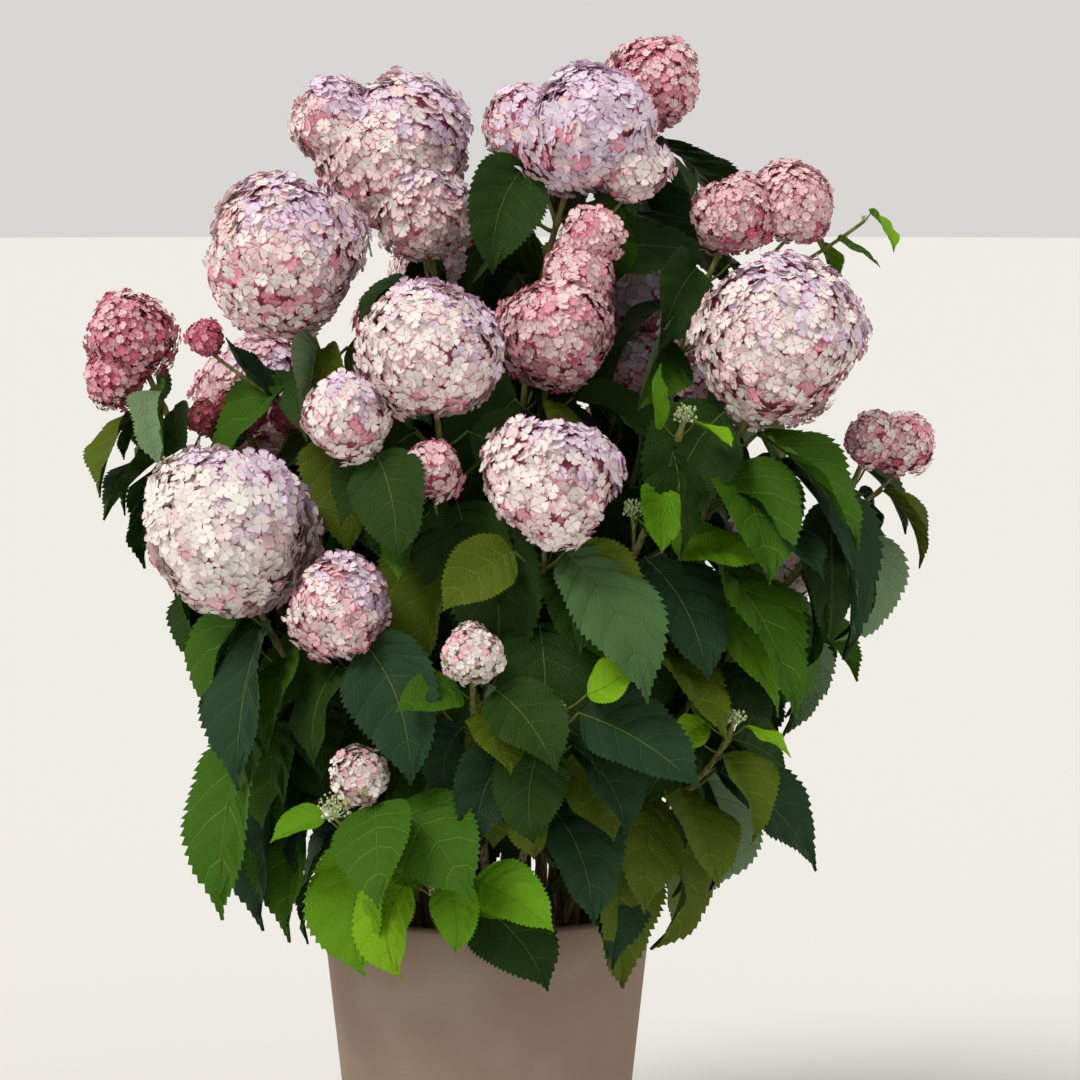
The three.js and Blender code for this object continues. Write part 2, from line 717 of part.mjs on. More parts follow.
// A pair of leaves on either side of a joint, both swung towards the light outside the crown.
function leafPair(joint, turn, length, droop, shoot, seed) {
  const outside = outward(joint);
  const lean = LIGHT_LEAN * Math.min(1, Math.hypot(joint.x, joint.y) / LIGHT_REACH);
  const pair = [];
  for (const side of [0, 1]) {
    const angle = turn + side * Math.PI;
    const way = vector(Math.cos(angle), Math.sin(angle), 0).addScaledVector(outside, lean);
    const leaf = {
      joint,
      azimuth: Math.atan2(way.y, way.x) + AZIMUTH_PLAY * (chance(seed, side) - 0.5),
      length: length * lerp(...LENGTH_PLAY, chance(seed, 4 + side)),
      petiole: PETIOLE * Math.sqrt(length / BLADE_LENGTH) * lerp(...PETIOLE_PLAY, chance(seed, 6 + side)),
      droop: droop * lerp(...DROOP_PLAY, chance(seed, 8 + side)),
      play: ROLL_PLAY * (chance(seed, 10 + side) - 0.5),
    };
    const settled = settleLeaf(leaf, shoot);
    if (settled) pair.push(settled);
  }
  return pair;
}

// The side twig of a smaller head: it leaves the stem well below the head and curves up into it.
function sideTwig(curve, length, low, head) {
  const end = curve.getPointAt(1);
  const apart = Math.hypot(head.centre.x - end.x, head.centre.y - end.y);
  const wanted = head.centre.z - head.radius - TWIG_DROP - TWIG_SLOPE * apart;
  let share = lerp(low, 1, TWIG_LATEST);
  for (let step = 0; step <= TWIG_STEPS; step++) {
    const trial = lerp(low, 1, step / TWIG_STEPS);
    if (curve.getPointAt(trial).z <= wanted) share = trial;
  }
  const start = curve.getPointAt(Math.max(share, low + TWIG_FIRST / length));
  const seat = head.centre.clone().addScaledVector(UP, -TWIG_SEAT * head.radius);
  const middle = start.clone().lerp(seat, TWIG_MIDDLE);
  middle.addScaledVector(outward(seat), TWIG_BOW).addScaledVector(UP, -TWIG_SAG);
  return new THREE.QuadraticBezierCurve3(start, middle, seat);
}

// One shoot's stem and twigs: the stem parts from its cane below the lowest leaf joint.
function startShoot(index) {
  const { name, pairs } = SHOOTS[index];
  const curve = new THREE.CatmullRomCurve3(routes[index]);
  const length = curve.getLength();
  const own = heads.filter((head) => head.shoot === index);
  const young = own[0].radius < BUD / 2;
  const top = length - HEAD_COVER * own[0].radius - (young ? YOUNG_JOINT : FIRST_JOINT);
  const room = top - LAST_JOINT - CANE_LEAST;
  const spacing = Math.min(JOINT_SPACING, room / Math.max(1, pairs - JOINT_SLACK));
  const low = (top - (pairs - 1) * spacing - LAST_JOINT) / length;
  const twigs = own.slice(1).map((head) => ({ head, curve: sideTwig(curve, length, low, head) }));
  twigs.forEach((twig) => grown.twigs.push({ shoot: index, points: twig.curve.getPoints(TWIG_PARTS) }));
  return { index, name, curve, length, low, top, spacing, young, own, twigs, leaves: [] };
}

// The point of a shoot's stem and twigs at a height, on the limb that passes nearest a leaf's tip.
function jointAt(shoot, height, tip) {
  const limbs = [shoot.curve, ...shoot.twigs.map((twig) => twig.curve)];
  const crossings = [];
  limbs.forEach((curve, rank) => {
    const points = curve.getSpacedPoints(JOINT_TRIALS);
    const above = points.findIndex((point) => point.z >= height);
    if (above > 0) crossings.push(points[above]);
    else if (rank === 0) crossings.push(points[points.length - 1]);
  });
  return crossings.reduce((best, point) => (point.distanceTo(tip) < best.distanceTo(tip) ? point : best));
}

// A leaf from a joint to a given tip. Its blade is a chord of the arc that leafSurface bends.
function shownLeaf(joint, tip, seed) {
  const apart = tip.clone().sub(joint);
  const chord = Math.min(LONGEST_BLADE, BLADE_SHARE * apart.length());
  const azimuth = Math.atan2(apart.y, apart.x);
  const petiole = Math.max(PETIOLE / 4, apart.length() - chord);
  const { out, base } = leafFrame({ joint, azimuth, petiole });
  const blade = tip.clone().sub(base);
  const fall = -Math.atan2(blade.z, blade.dot(out));
  const wanted = fall / (0.5 * (DROOP_START + DROOP_END));
  const droop = Math.abs(wanted) < LEAST_DROOP ? LEAST_DROOP : wanted;
  const halfBend = 0.5 * (DROOP_END - DROOP_START) * droop;
  const length = (blade.length() * halfBend) / Math.sin(halfBend);
  return { joint, azimuth, petiole, droop, length, play: ROLL_PLAY * (chance(seed, 0) - 0.5) };
}

// A shoot's leaf pairs, from the top joint down, and a young pair below each bud on a twig.
function growPairs(shoot) {
  const { index, curve, length, top, spacing, young } = shoot;
  const { pairs, turn } = SHOOTS[index];
  for (let k = 0; k < pairs; k++) {
    const joint = curve.getPointAt((top - k * spacing) / length);
    const isYoung = young && k === 0;
    const size = isYoung ? YOUNG_BLADE_LENGTH : BLADE_LENGTH * (k === 0 ? TOP_BLADE : 1);
    const droop = isYoung ? YOUNG_DROOP : TOP_DROOP + DROOP_STEP * Math.min(k, 2);
    const angle = radians(turn) + (k * Math.PI) / 2;
    shoot.leaves.push(...leafPair(joint, angle, size, droop, index, SEEDS * index + k));
  }
  shoot.twigs.forEach(({ curve: twig, head }, k) => {
    if (head.radius > BUD / 2) return;
    const joint = twig.getPointAt(BUD_JOINT);
    const angle = radians(turn + BUD_TURN);
    const seed = SEEDS * index + SEEDS / 2 + k;
    shoot.leaves.push(...leafPair(joint, angle, YOUNG_BLADE_LENGTH, YOUNG_DROOP, index, seed));
  });
}

// Colours: blossom inside the heads' reach, green elsewhere.
function paint(geometry, own) {
  const place = geometry.getAttribute("position");
  const colours = [];
  for (let i = 0; i < place.count; i++) {
    const point = vector().fromBufferAttribute(place, i);
    const inHead = own.some((head) => point.distanceTo(head.centre) < BLOOM_REACH * head.radius);
    colours.push(...(inHead ? BLOSSOM : LEAF_GREEN).toArray());
  }
  geometry.setAttribute("color", new THREE.Float32BufferAttribute(colours, 3));
}

const plant = new THREE.Group();
plant.name = "hydrangea_in_planter";

function addNode(name, geometry, options) {
  const mesh = new THREE.Mesh(geometry, new THREE.MeshStandardMaterial({ metalness: 0, ...options }));
  mesh.name = name;
  plant.add(mesh);
}

addNode("pot", potGeometry(), { color: 0x9c8878, roughness: 0.85 });
addNode("soil", soilGeometry(), { color: 0x3b2c22, roughness: 1 });

const shoots = SHOOTS.map((_, index) => startShoot(index));
SHOWN_LEAVES.forEach(([name, height, place], seed) => {
  const shoot = shoots.find((one) => one.name === name);
  const tip = vector(...place);
  const leaf = settleLeaf(shownLeaf(jointAt(shoot, height, tip), tip, seed), shoot.index);
  if (leaf) shoot.leaves.push(leaf);
});
shoots.forEach((shoot) => growPairs(shoot));

// The canes and every shoot's stem, twigs and heads are placed first.
// The leaves that touch none of them follow.
const canes = shoots.map(({ curve, length, low }) => {
  const steps = Math.max(2, Math.round((low * length) / LIMB_STEP));
  return limb(curve, 0, low - GAP / length, CANE_ROOT_RADIUS, CANE_TIP_RADIUS, CANE_SIDES, steps);
});

const frames = shoots.map(({ curve, length, low, own, twigs }) => {
  const steps = Math.max(2, Math.round(((1 - low) * length) / LIMB_STEP));
  let body = solidOf(limb(curve, low, 1, CANE_TIP_RADIUS, SHOOT_TIP_RADIUS, SHOOT_SIDES, steps));
  twigs.forEach((twig) => {
    body = body.add(solidOf(limb(twig.curve, 0, 1, TWIG_ROOT_RADIUS, TWIG_TIP_RADIUS, 3, 3)));
  });
  own.forEach((head) => {
    body = body.add(solidOf(headGeometry(head)));
  });
  return body;
});

const placed = [
  ...canes.map((geometry) => ({ shoot: -1, solid: solidOf(geometry) })),
  ...frames.map((solid, shoot) => ({ shoot, solid })),
  { shoot: -1, solid: solidOf(potGeometry()) },
];
placed.forEach((piece) => {
  piece.box = piece.solid.boundingBox();
});

function boxesMeet(a, b) {
  return [0, 1, 2].every((axis) => a.min[axis] < b.max[axis] && b.min[axis] < a.max[axis]);
}

function touchesOthers(solid, shoot) {
  const box = solid.boundingBox();
  return placed.some(
    (piece) => piece.shoot !== shoot && boxesMeet(box, piece.box) && !piece.solid.intersect(solid).isEmpty(),
  );
}

shoots.forEach(({ index, leaves, own }) => {
  let body = frames[index];
  leaves.forEach((planned) => {
    const isClear = (leaf) => !touchesOthers(solidOf(leafGeometry(leaf)), index);
    let leaf = planned;
    if (!isClear(planned)) {
      grown.samples = grown.samples.filter((sample) => sample.leaf !== planned);
      leaf = settleLeaf(planned, index, isClear);
    }
    if (!leaf) return;
    const solid = solidOf(leafGeometry(leaf));
    placed.push({ shoot: index, solid, box: solid.boundingBox() });
    body = body.add(solid);
  });
  const geometry = geometryOf(mainBody(body));
  paint(geometry, own);
  addNode(`cane_${SHOOTS[index].name}`, canes[index], { color: STEM_GREEN, roughness: 0.7 });
  addNode(`shoot_${SHOOTS[index].name}`, geometry, { vertexColors: true, roughness: 0.75 });
});

export default plant;
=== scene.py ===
"""Hydrangea shrub in its clay planter: bark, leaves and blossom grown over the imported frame.

The plant is worked out in millimetres by the frame's own growth rule, and carried finer:
canes rise from the compost, each ends in a leafy shoot, and each shoot ends in flower heads.
"""

import math
from functools import lru_cache
from types import SimpleNamespace

import bpy
import numpy as np
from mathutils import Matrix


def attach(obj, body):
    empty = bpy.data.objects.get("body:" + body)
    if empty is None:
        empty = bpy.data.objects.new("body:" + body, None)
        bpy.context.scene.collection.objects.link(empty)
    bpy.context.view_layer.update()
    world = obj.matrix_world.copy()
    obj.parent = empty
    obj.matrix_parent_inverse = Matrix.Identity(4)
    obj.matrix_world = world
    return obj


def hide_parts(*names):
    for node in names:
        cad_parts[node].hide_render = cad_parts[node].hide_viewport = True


bl_info = {
    "name": "Hydrangea in a planter",
    "version": (1, 0, 0),
    "blender": (4, 5, 0),
    "location": "3D View > Sidebar > Hydrangea",
    "description": "Grows a hydrangea shrub with its blooms in a plain clay planter",
    "category": "Object",
}

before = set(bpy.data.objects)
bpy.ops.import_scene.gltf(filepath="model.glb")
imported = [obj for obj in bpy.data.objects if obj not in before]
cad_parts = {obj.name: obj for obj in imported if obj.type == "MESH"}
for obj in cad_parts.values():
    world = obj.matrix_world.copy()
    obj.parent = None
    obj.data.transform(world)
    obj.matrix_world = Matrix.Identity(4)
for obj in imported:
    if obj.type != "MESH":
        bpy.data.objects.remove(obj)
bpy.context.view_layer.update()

MM = 0.001

# Planter and compost, in millimetres, and the gap between two nodes of the frame.
POT_HEIGHT = 346
RIM_RADIUS = 180
FOOT_RADIUS = 142
WALL = 13
FLOOR = 15
FOOT_EDGE = 4
SOIL_TOP = 298
GAP = 0.3

# Canes, shoots and twigs: the radius at the root and at the tip.
CANE_ENDS = (5.6, 4.4)
SHOOT_ENDS = (4.4, 3)
TWIG_ENDS = (2.5, 1.9)

# Feet on the compost and the way the stems bow.
FOOT_NEAR = 20
FOOT_FAR = 118
FOOT_SPACING = 27
FOOT_PASSES = 60
CROWN_REACH = 430
FOOT_PUSH = 0.3
HEAD_LEAN = 0.4
HEAD_SEAT = 0.4
FOOT_RISE = 0.38
HEAD_RISE = 0.34
ROUTE_POINTS = 24
ROUTE_PASSES = 90
STEM_CLEARANCE = 17
HEAD_CLEARANCE = 11
RIM_CLEARANCE = 14
HEAD_PUSH = 0.6
STEM_PUSH = 0.4
OWN_BOW = 0.5

# Leaves: their joints, blades and bend.
BLADE_LENGTH = 146
TOP_BLADE = 0.9
YOUNG_BLADE_LENGTH = 64
BLADE_WIDTH = 0.68
BLADE_FOLD = 0.22
WIDEST_LOW = 0.7
BLUNTNESS = 0.9
PETIOLE = 40
PETIOLE_OUT = 0.8
PETIOLE_UP = 0.5
FIRST_JOINT = 26
YOUNG_JOINT = 10
LAST_JOINT = 28
JOINT_SPACING = 84
CANE_LEAST = 42
JOINT_PLACES = 121
HEAD_COVER = 0.62
JOINT_SLACK = 0.4
SEEDS = 40
SHOWN_SEED = 5000
DROOP_START = 0.45
DROOP_END = 1.35
MEAN_DROOP = 0.5 * (DROOP_START + DROOP_END)
LEAST_BEND = 1e-4
TWIST_CENTRE = 0.4
TOP_DROOP = 0.8
DROOP_STEP = 0.3
YOUNG_DROOP = 0.5
LEAST_DROOP = 0.05
LIGHT_LEAN = 0.75
LIGHT_REACH = 260
LIGHT_HEIGHT = 0.7
LIGHT_ROLL = 0.85
SHADE_FACING = 0.2
AZIMUTH_PLAY = 0.3
ROLL_PLAY = 0.4
FINE_ROLL_PLAY = 1.3
LENGTH_PLAY = (0.88, 1.12)
PETIOLE_PLAY = (0.8, 1.3)
DROOP_PLAY = (0.8, 1.2)
BLADE_SHARE = 0.8
YOUNG_SHARE = 0.64
LONGEST_BLADE = 152
SHORTEST_PETIOLE = 10
MOST_SAMPLES = 20000

# The room that a leaf needs: off other shoots' leaves and its own shoot's.
LEAF_ROOM = (26, 19)
SHOWN_ROOM = (15, 11)
FINE_ROOM = (18, 13)
LEAF_OFF_POT = 8
LEAF_OFF_HEAD = 8
LEAF_OFF_OWN_HEAD = 2
LEAF_OFF_STEM = 10
LEAF_OFF_TWIG = 8
SEGMENT_REACH = 90
SWING_TRIES = (0, 22, -22, 44, -44, 66, -66)
DROOP_TRIES = (0, 0.3, -0.3, 0.6)

# Flower heads.
CORE_REACH = 0.9
MOST_REACH = 1.03
LOBES = 4
LOBE_SIZE = (0.06, 0.16)
LOBE_FOCUS = 5
BUD = 45
HEAD_GAP = 1.2
LUMP_TURNS = 4.5
LUMP_DEPTH = 0.2
LUMP_REST = 0.22
LEAST_FACING = 0.01

# Side twigs of the smaller heads.
TWIG_DROP = 30
TWIG_SLOPE = 0.45
TWIG_LATEST = 0.7
TWIG_FIRST = 12
TWIG_STEPS = 40
TWIG_MIDDLE = 0.55
TWIG_BOW = 12
TWIG_SAG = 8
TWIG_SEAT = 0.5
TWIG_PLACES = 25
TWIG_STRIDE = 4
BUD_JOINT = 0.72
BUD_TURN = 40

# The crown's outline: its greatest radius at each height.
OUTLINE = np.array([
    (230, 265), (330, 350), (480, 425), (700, 470), (900, 500), (1060, 470), (1160, 330), (1290, 240),
], float)
# The finer leaves keep inside a narrower one, apart from a share that hangs over the pot.
FINE_OUTLINE = np.array([
    (388, 0), (392, 270), (480, 330), (700, 410), (900, 470), (1060, 460), (1160, 330), (1290, 240),
], float)
HANGING_SHARE = 0.12

# Each shoot: its side of the plant, the direction of its top leaf pair in degrees, how many joints carry
# leaves, and its heads as (x, y, z, diameter, look), the main head first.
SHOOTS = {
    "top_centre": ("top", 5, 4, [
        (111, -40, 1188, 158, "lilac"), (39, -20, 1191, 96, "open"), (156, -50, 1145, 83, "cream")]),
    "top_left": ("top", 70, 4, [
        (-99, 20, 1155, 186, "pink"), (-166, 10, 1196, 99, "pink"), (-66, -10, 1098, 120, "pink")]),
    "upper_left": ("left", 20, 4, [(-215, -90, 1054, 193, "pink"), (-298, -60, 965, 47, "tail")]),
    "right": ("right", 60, 4, [(305, -170, 970, 196, "cream")]),
    "middle": ("front", 30, 4, [
        (-56, -220, 960, 171, "cream"), (-143, -235, 893, 99, "cream"), (-54, -235, 837, 68, "rose")]),
    "left": ("left", 35, 4, [(-267, -190, 770, 209, "white")]),
    "centre": ("front", 95, 4, [(71, -270, 828, 154, "cream")]),
    "upper_centre": ("top", 0, 4, [
        (79, -100, 973, 144, "rose"), (114, -84, 1074, 75, "rose"), (97, -90, 1030, 83, "rose")]),
    "top_right": ("top", 30, 4, [(184, 110, 1234, 121, "red")]),
    "right_back": ("right", 90, 4, [
        (267, -20, 1095, 102, "magenta"), (332, -10, 1105, 102, "magenta"), (407, -10, 1091, 11, "bud")]),
    "far_left": ("left", 80, 4, [(-381, -20, 966, 113, "deep"), (-399, -20, 920, 82, "deep")]),
    "far_right": ("right", 60, 4, [(413, -60, 856, 68, "small"), (448, -60, 853, 73, "small")]),
    "left_small": ("front", 120, 4, [(-150, -240, 694, 116, "blush")]),
    "low_centre": ("front", 50, 3, [(-12, -290, 651, 74, "young")]),
    "low_left": ("front", 10, 3, [(-129, -260, 520, 70, "young"), (-154, -270, 489, 39, "bud")]),
    "bud_right": ("right", 20, 5, [(209, -200, 891, 29, "bud"), (153, -230, 795, 25, "bud")]),
    "bud_low_right": ("right", 30, 3, [(262, -200, 574, 25, "bud")]),
    "rim_front": ("front", 0, 2, [(-48, -235, 401, 27, "bud")]),
    "front_young": ("front", 85, 3, [(75, -285, 594, 24, "bud")]),
    "rim_left": ("left", 60, 3, [(-230, -120, 560, 24, "bud")]),
    "inner_right": ("right", 10, 4, [
        (181, 90, 999, 115, "lilac"), (164, 60, 915, 79, "dusky"), (232, 20, 898, 95, "dusky")]),
    "inner_left": ("left", 80, 4, [
        (-266, 0, 882, 65, "brown"), (-303, -10, 876, 45, "brown"), (-209, -20, 880, 50, "brown")]),
    "low_right": ("right", 45, 3, [(327, 60, 715, 103, "faded"), (289, 70, 742, 66, "faded")]),
    "back_top": ("back", 30, 4, [(-30, 200, 1020, 178, "pink"), (-110, 190, 965, 90, "rose")]),
    # The back left head takes the darker dusky look: painted shade, as for a head deep at the back of the
    # crown.
    "back_left": ("back", 60, 4, [(-255, 225, 880, 176, "dusky"), (-170, 300, 800, 84, "blush")]),
    "back_right": ("back", 15, 4, [(240, 250, 900, 184, "pink"), (150, 320, 850, 92, "cream")]),
    "back_low": ("back", 70, 4, [(-20, 370, 760, 150, "white"), (90, 350, 700, 70, "blush")]),
    "rim_back": ("back", 25, 3, [(40, 250, 520, 24, "bud")]),
}
SIDES = ("front", "left", "right", "top", "back")

# Leaves that show most: their shoot, the height of their joint, the place of their tip, and their green.
SHOWN_LEAVES = [
    ("left", 680, (-399, -190, 604), "lime"),
    ("left", 735, (-340, -200, 640), "dark"),
    ("left", 665, (-298, -235, 555), "mid"),
    ("left", 690, (-212, -265, 606), "dark"),
    ("left", 650, (-254, -255, 505), "blue"),
    ("left_small", 640, (-161, -270, 506), "blue"),
    ("left_small", 655, (-84, -290, 570), "mid"),
    ("low_centre", 600, (-98, -290, 574), "mid"),
    ("rim_left", 535, (-311, -200, 365), "mid"),
    ("rim_left", 545, (-224, -220, 452), "mid"),
    ("low_left", 500, (-218, -240, 425), "blue"),
    ("rim_left", 481, (-262, -190, 358), "blue"),
    ("rim_left", 466, (-222, -212, 352), "mid"),
    ("low_left", 412, (-172, -192, 308), "bright"),
    ("rim_front", 396, (-113, -252, 432), "bright"),
    ("rim_front", 390, (-106, -264, 308), "lime"),
    ("rim_front", 395, (-30, -268, 338), "bright"),
    ("rim_front", 385, (72, -280, 362), "bright"),
    ("rim_front", 372, (66, -218, 288), "dark"),
    ("middle", 760, (62, -290, 650), "dark"),
    ("middle", 840, (-90, -275, 744), "dark"),
    ("centre", 730, (167, -320, 604), "grey"),
    ("centre", 704, (128, -250, 634), "mid"),
    ("centre", 763, (71, -302, 700), "olive"),
    ("low_centre", 640, (-26, -297, 724), "bright"),
    ("low_centre", 636, (30, -312, 570), "bright"),
    ("low_centre", 562, (-34, -242, 495), "blue"),
    ("front_young", 588, (163, -302, 656), "lime"),
    ("front_young", 572, (222, -312, 514), "blue"),
    ("front_young", 548, (52, -292, 456), "dark"),
    ("front_young", 520, (134, -252, 452), "olive"),
    ("front_young", 470, (113, -258, 366), "blue"),
    ("bud_right", 640, (250, -248, 556), "olive"),
    ("bud_low_right", 525, (280, -218, 446), "olive"),
    ("bud_low_right", 480, (242, -272, 406), "olive"),
    ("bud_low_right", 470, (158, -256, 390), "olive"),
    ("bud_low_right", 440, (136, -228, 294), "olive"),
    ("bud_low_right", 425, (176, -216, 312), "blue"),
    ("right", 707, (323, -218, 576), "mid"),
    ("right", 660, (308, -165, 570), "bright"),
    ("bud_right", 862, (183, -217, 946), "bright"),
    ("right", 872, (168, -226, 782), "dark"),
    ("right", 884, (279, -202, 818), "dark"),
    ("right", 846, (388, -226, 752), "mid"),
    ("right", 864, (386, -140, 800), "olive"),
    ("far_right", 792, (463, -75, 719), "olive"),
    ("right", 790, (432, -176, 652), "blue"),
    ("bud_right", 796, (217, -252, 764), "bright"),
    ("bud_right", 727, (281, -237, 736), "bright"),
    ("bud_right", 722, (232, -226, 616), "blue"),
    ("far_left", 868, (-410, -90, 796), "olive"),
    ("far_left", 830, (-404, -112, 774), "dark"),
    ("upper_left", 980, (-322, -172, 856), "dark"),
    ("upper_left", 890, (-276, -75, 966), "blue"),
    ("far_left", 890, (-421, -50, 850), "lime"),
    ("top_centre", 1134, (-12, -110, 1050), "dark"),
    ("top_centre", 1072, (0, -122, 978), "dark"),
    ("top_centre", 1052, (-60, -52, 1014), "mid"),
    ("top_centre", 1046, (250, -92, 1054), "dark"),
    ("upper_centre", 940, (222, -138, 936), "blue"),
    ("right_back", 1085, (409, -16, 1128), "lime"),
    ("right_back", 1082, (471, -26, 1068), "lime"),
]

# Leaves of the rule that are left off, so that the pot's rim and a small head show: their shoot, their joint
# from the top, and their side.
BARE_JOINTS = (("low_left", 2, 0), ("rim_front", 1, 1), ("centre", 0, 1))

UP = np.array([0.0, 0.0, 1.0])
TAU = 2 * math.pi


def chance(a, b):
    """A seeded number from 0 to 1 for each pair of numbers: the fraction of a large sine.

    a is the seed of a head, leaf or floret, and b only tells its draws apart.
    """
    wave = np.sin(np.asarray(a) * 127.1 + np.asarray(b) * 311.7) * 43758.5453
    return wave - np.floor(wave)


def lerp(ends, share):
    """The value at a share of the way between two ends."""
    return ends[0] + (ends[1] - ends[0]) * share


def length_of(way):
    """The length of each vector, kept as a last axis of one."""
    return np.linalg.norm(way, axis=-1, keepdims=True)


def unit(way):
    """Each vector over its own length."""
    return way / np.maximum(length_of(way), 1e-9)


def outward(point):
    """The level way out from the plant's axis at each point, or straight to the front on the axis."""
    level = np.asarray(point) * (1.0, 1.0, 0.0)
    return np.where(length_of(level) > 1, unit(level), (0.0, -1.0, 0.0))


def pot_radius(height):
    """The pot's outer radius at a height: a straight taper from foot to rim."""
    return FOOT_RADIUS + (RIM_RADIUS - FOOT_RADIUS) * height / POT_HEIGHT


# Growth: the frame's rule


def plant_feet(centres):
    """Each cane's foot lies on the side of its head, and near feet push apart until they are spaced."""
    reach = np.hypot(centres[:, 0], centres[:, 1])
    radius = FOOT_NEAR + (FOOT_FAR - FOOT_NEAR) * np.minimum(1, reach / CROWN_REACH)
    level = centres[:, :2] * (radius / reach)[:, None]
    feet = np.column_stack([level, np.full(len(centres), SOIL_TOP + GAP)])
    for _ in range(FOOT_PASSES):
        apart = feet[:, None] - feet
        distance = np.linalg.norm(apart, axis=2)
        push = FOOT_PUSH * np.maximum(FOOT_SPACING - distance, 0) / np.maximum(distance, 1)
        feet = feet + (push[..., None] * apart).sum(1)
        feet[:, :2] *= np.minimum(1, FOOT_FAR / np.hypot(feet[:, 0], feet[:, 1]))[:, None]
    return feet


def bezier(share, *points):
    """The point at each share of a Bezier curve: the points weighed by the binomial terms."""
    order = len(points) - 1
    share = np.asarray(share)[:, None]
    terms = [math.comb(order, k) * share**k * (1 - share) ** (order - k) for k in range(order + 1)]
    return sum(term * point for term, point in zip(terms, points))


def first_route(foot, centre, radius):
    """A stem's way: straight up from its foot, then out and up into the underside of its head."""
    lean = unit(outward(centre) * HEAD_LEAN + UP)
    end = centre - lean * HEAD_SEAT * radius
    rise = np.linalg.norm(end - foot)
    share = np.linspace(0, 1, ROUTE_POINTS)
    return bezier(share, foot, foot + UP * FOOT_RISE * rise, end - lean * HEAD_RISE * rise, end)


def nearest_on_segments(points, starts, ends):
    """For each point and segment, the foot of the perpendicular, held between the segment's ends."""
    along = ends - starts
    share = ((points[:, None] - starts) * along).sum(2) / (along**2).sum(1)
    return starts + np.clip(share, 0, 1)[..., None] * along


def settle_routes(routes, heads):
    """The stems bow aside, smoothly, until each passes clear of other stems, heads and the pot's rim."""
    rest = routes.copy()
    count, points, _ = routes.shape
    inner = slice(2, points - 1)
    mine = np.repeat(np.arange(count), points - 3)
    for _ in range(ROUTE_PASSES):
        offset = routes - rest
        bow = OWN_BOW * offset[:, inner] + (1 - OWN_BOW) / 2 * (offset[:, 1:-2] + offset[:, 3:])
        moved = (rest[:, inner] + bow).reshape(-1, 3)
        here = routes[:, inner].reshape(-1, 3)
        apart = here[:, None] - heads.centre
        distance = np.linalg.norm(apart, axis=2)
        short = np.maximum(heads.radius + HEAD_CLEARANCE - distance, 0) * (heads.shoot != mine[:, None])
        moved += (HEAD_PUSH * (short / distance)[..., None] * apart).sum(1)
        near = nearest_on_segments(here, routes[:, :-1].reshape(-1, 3), routes[:, 1:].reshape(-1, 3))
        apart = (here[:, None] - near).reshape(len(here), count, points - 1, 3)
        distance = np.linalg.norm(apart, axis=3)
        best = distance.argmin(2)
        apart = np.take_along_axis(apart, best[..., None, None], 2)[:, :, 0]
        distance = np.take_along_axis(distance, best[..., None], 2)[:, :, 0]
        short = np.maximum(STEM_CLEARANCE - distance, 0) * (np.arange(count) != mine[:, None])
        moved += (STEM_PUSH * (short / np.maximum(distance, 1e-9))[..., None] * apart).sum(1)
        over_rim = np.hypot(moved[:, 0], moved[:, 1]) > RIM_RADIUS - WALL - RIM_CLEARANCE
        moved[:, 2] = np.where(over_rim, np.maximum(moved[:, 2], POT_HEIGHT + RIM_CLEARANCE), moved[:, 2])
        routes = routes.copy()
        routes[:, inner] = moved.reshape(count, points - 3, 3)
    return routes


def make_heads():
    """All flower heads as arrays: a ball with seeded lobes, flattened where another shoot's head presses."""
    rows = [
        (shoot, rank, *head)
        for shoot, (_, _, _, heads) in enumerate(SHOOTS.values())
        for rank, head in enumerate(heads)
    ]
    seed = np.arange(len(rows))
    centre = np.array([row[2:5] for row in rows], float)
    radius = np.array([row[5] for row in rows]) / 2
    shoot = np.array([row[0] for row in rows])
    lobe = np.arange(LOBES)
    height = 2 * chance(seed[:, None], 10 + lobe) - 1
    turn = TAU * chance(seed[:, None], 20 + lobe)
    level = np.sqrt(1 - height**2)
    lobe_way = np.stack([level * np.cos(turn), level * np.sin(turn), height], -1)
    lobe_size = lerp(LOBE_SIZE, chance(seed[:, None], 30 + lobe))
    apart = centre - centre[:, None]
    share = radius[:, None] / (radius[:, None] + radius)
    press = share * np.linalg.norm(apart, axis=2) - HEAD_GAP
    press[shoot[:, None] == shoot] = np.inf
    return SimpleNamespace(
        centre=centre, radius=radius, shoot=shoot, rank=np.array([row[1] for row in rows]),
        look=[row[6] for row in rows], lobe_way=lobe_way, lobe_size=lobe_size,
        press_way=unit(apart), press=press,
    )


def head_reach(heads, head, ways):
    """How far a head reaches each way: its radius times its lobes' swell and lumps, cut by the presses."""
    swell = heads.lobe_size[head] * np.exp(LOBE_FOCUS * (ways @ heads.lobe_way[head].T - 1))
    reach = heads.radius[head] * np.minimum(MOST_REACH, CORE_REACH + swell.sum(-1))
    lumps = np.sin(LUMP_TURNS * (ways @ heads.lobe_way[head].T) + head + 2 * np.arange(LOBES)).mean(-1)
    reach = reach * (1 - LUMP_DEPTH * (LUMP_REST - lumps))
    facing = ways @ heads.press_way[head].T
    limit = np.where(facing > LEAST_FACING, heads.press[head] / np.maximum(facing, LEAST_FACING), np.inf)
    return np.minimum(reach, limit.min(-1))


LIMB_PARTS = 8


def limb_through(points):
    """A smooth limb through points: a Catmull-Rom curve in small steps, with the length run at each."""
    ends = np.vstack([2 * points[0] - points[1], points, 2 * points[-1] - points[-2]])
    a, b, c, d = ends[:-3], ends[1:-2], ends[2:-1], ends[3:]
    t = (np.arange(LIMB_PARTS) / LIMB_PARTS)[:, None, None]
    curve = 2 * b + (c - a) * t + (2 * a - 5 * b + 4 * c - d) * t**2 + (3 * b - a - 3 * c + d) * t**3
    return run_of(np.vstack([0.5 * curve.transpose(1, 0, 2).reshape(-1, 3), points[-1:]]))


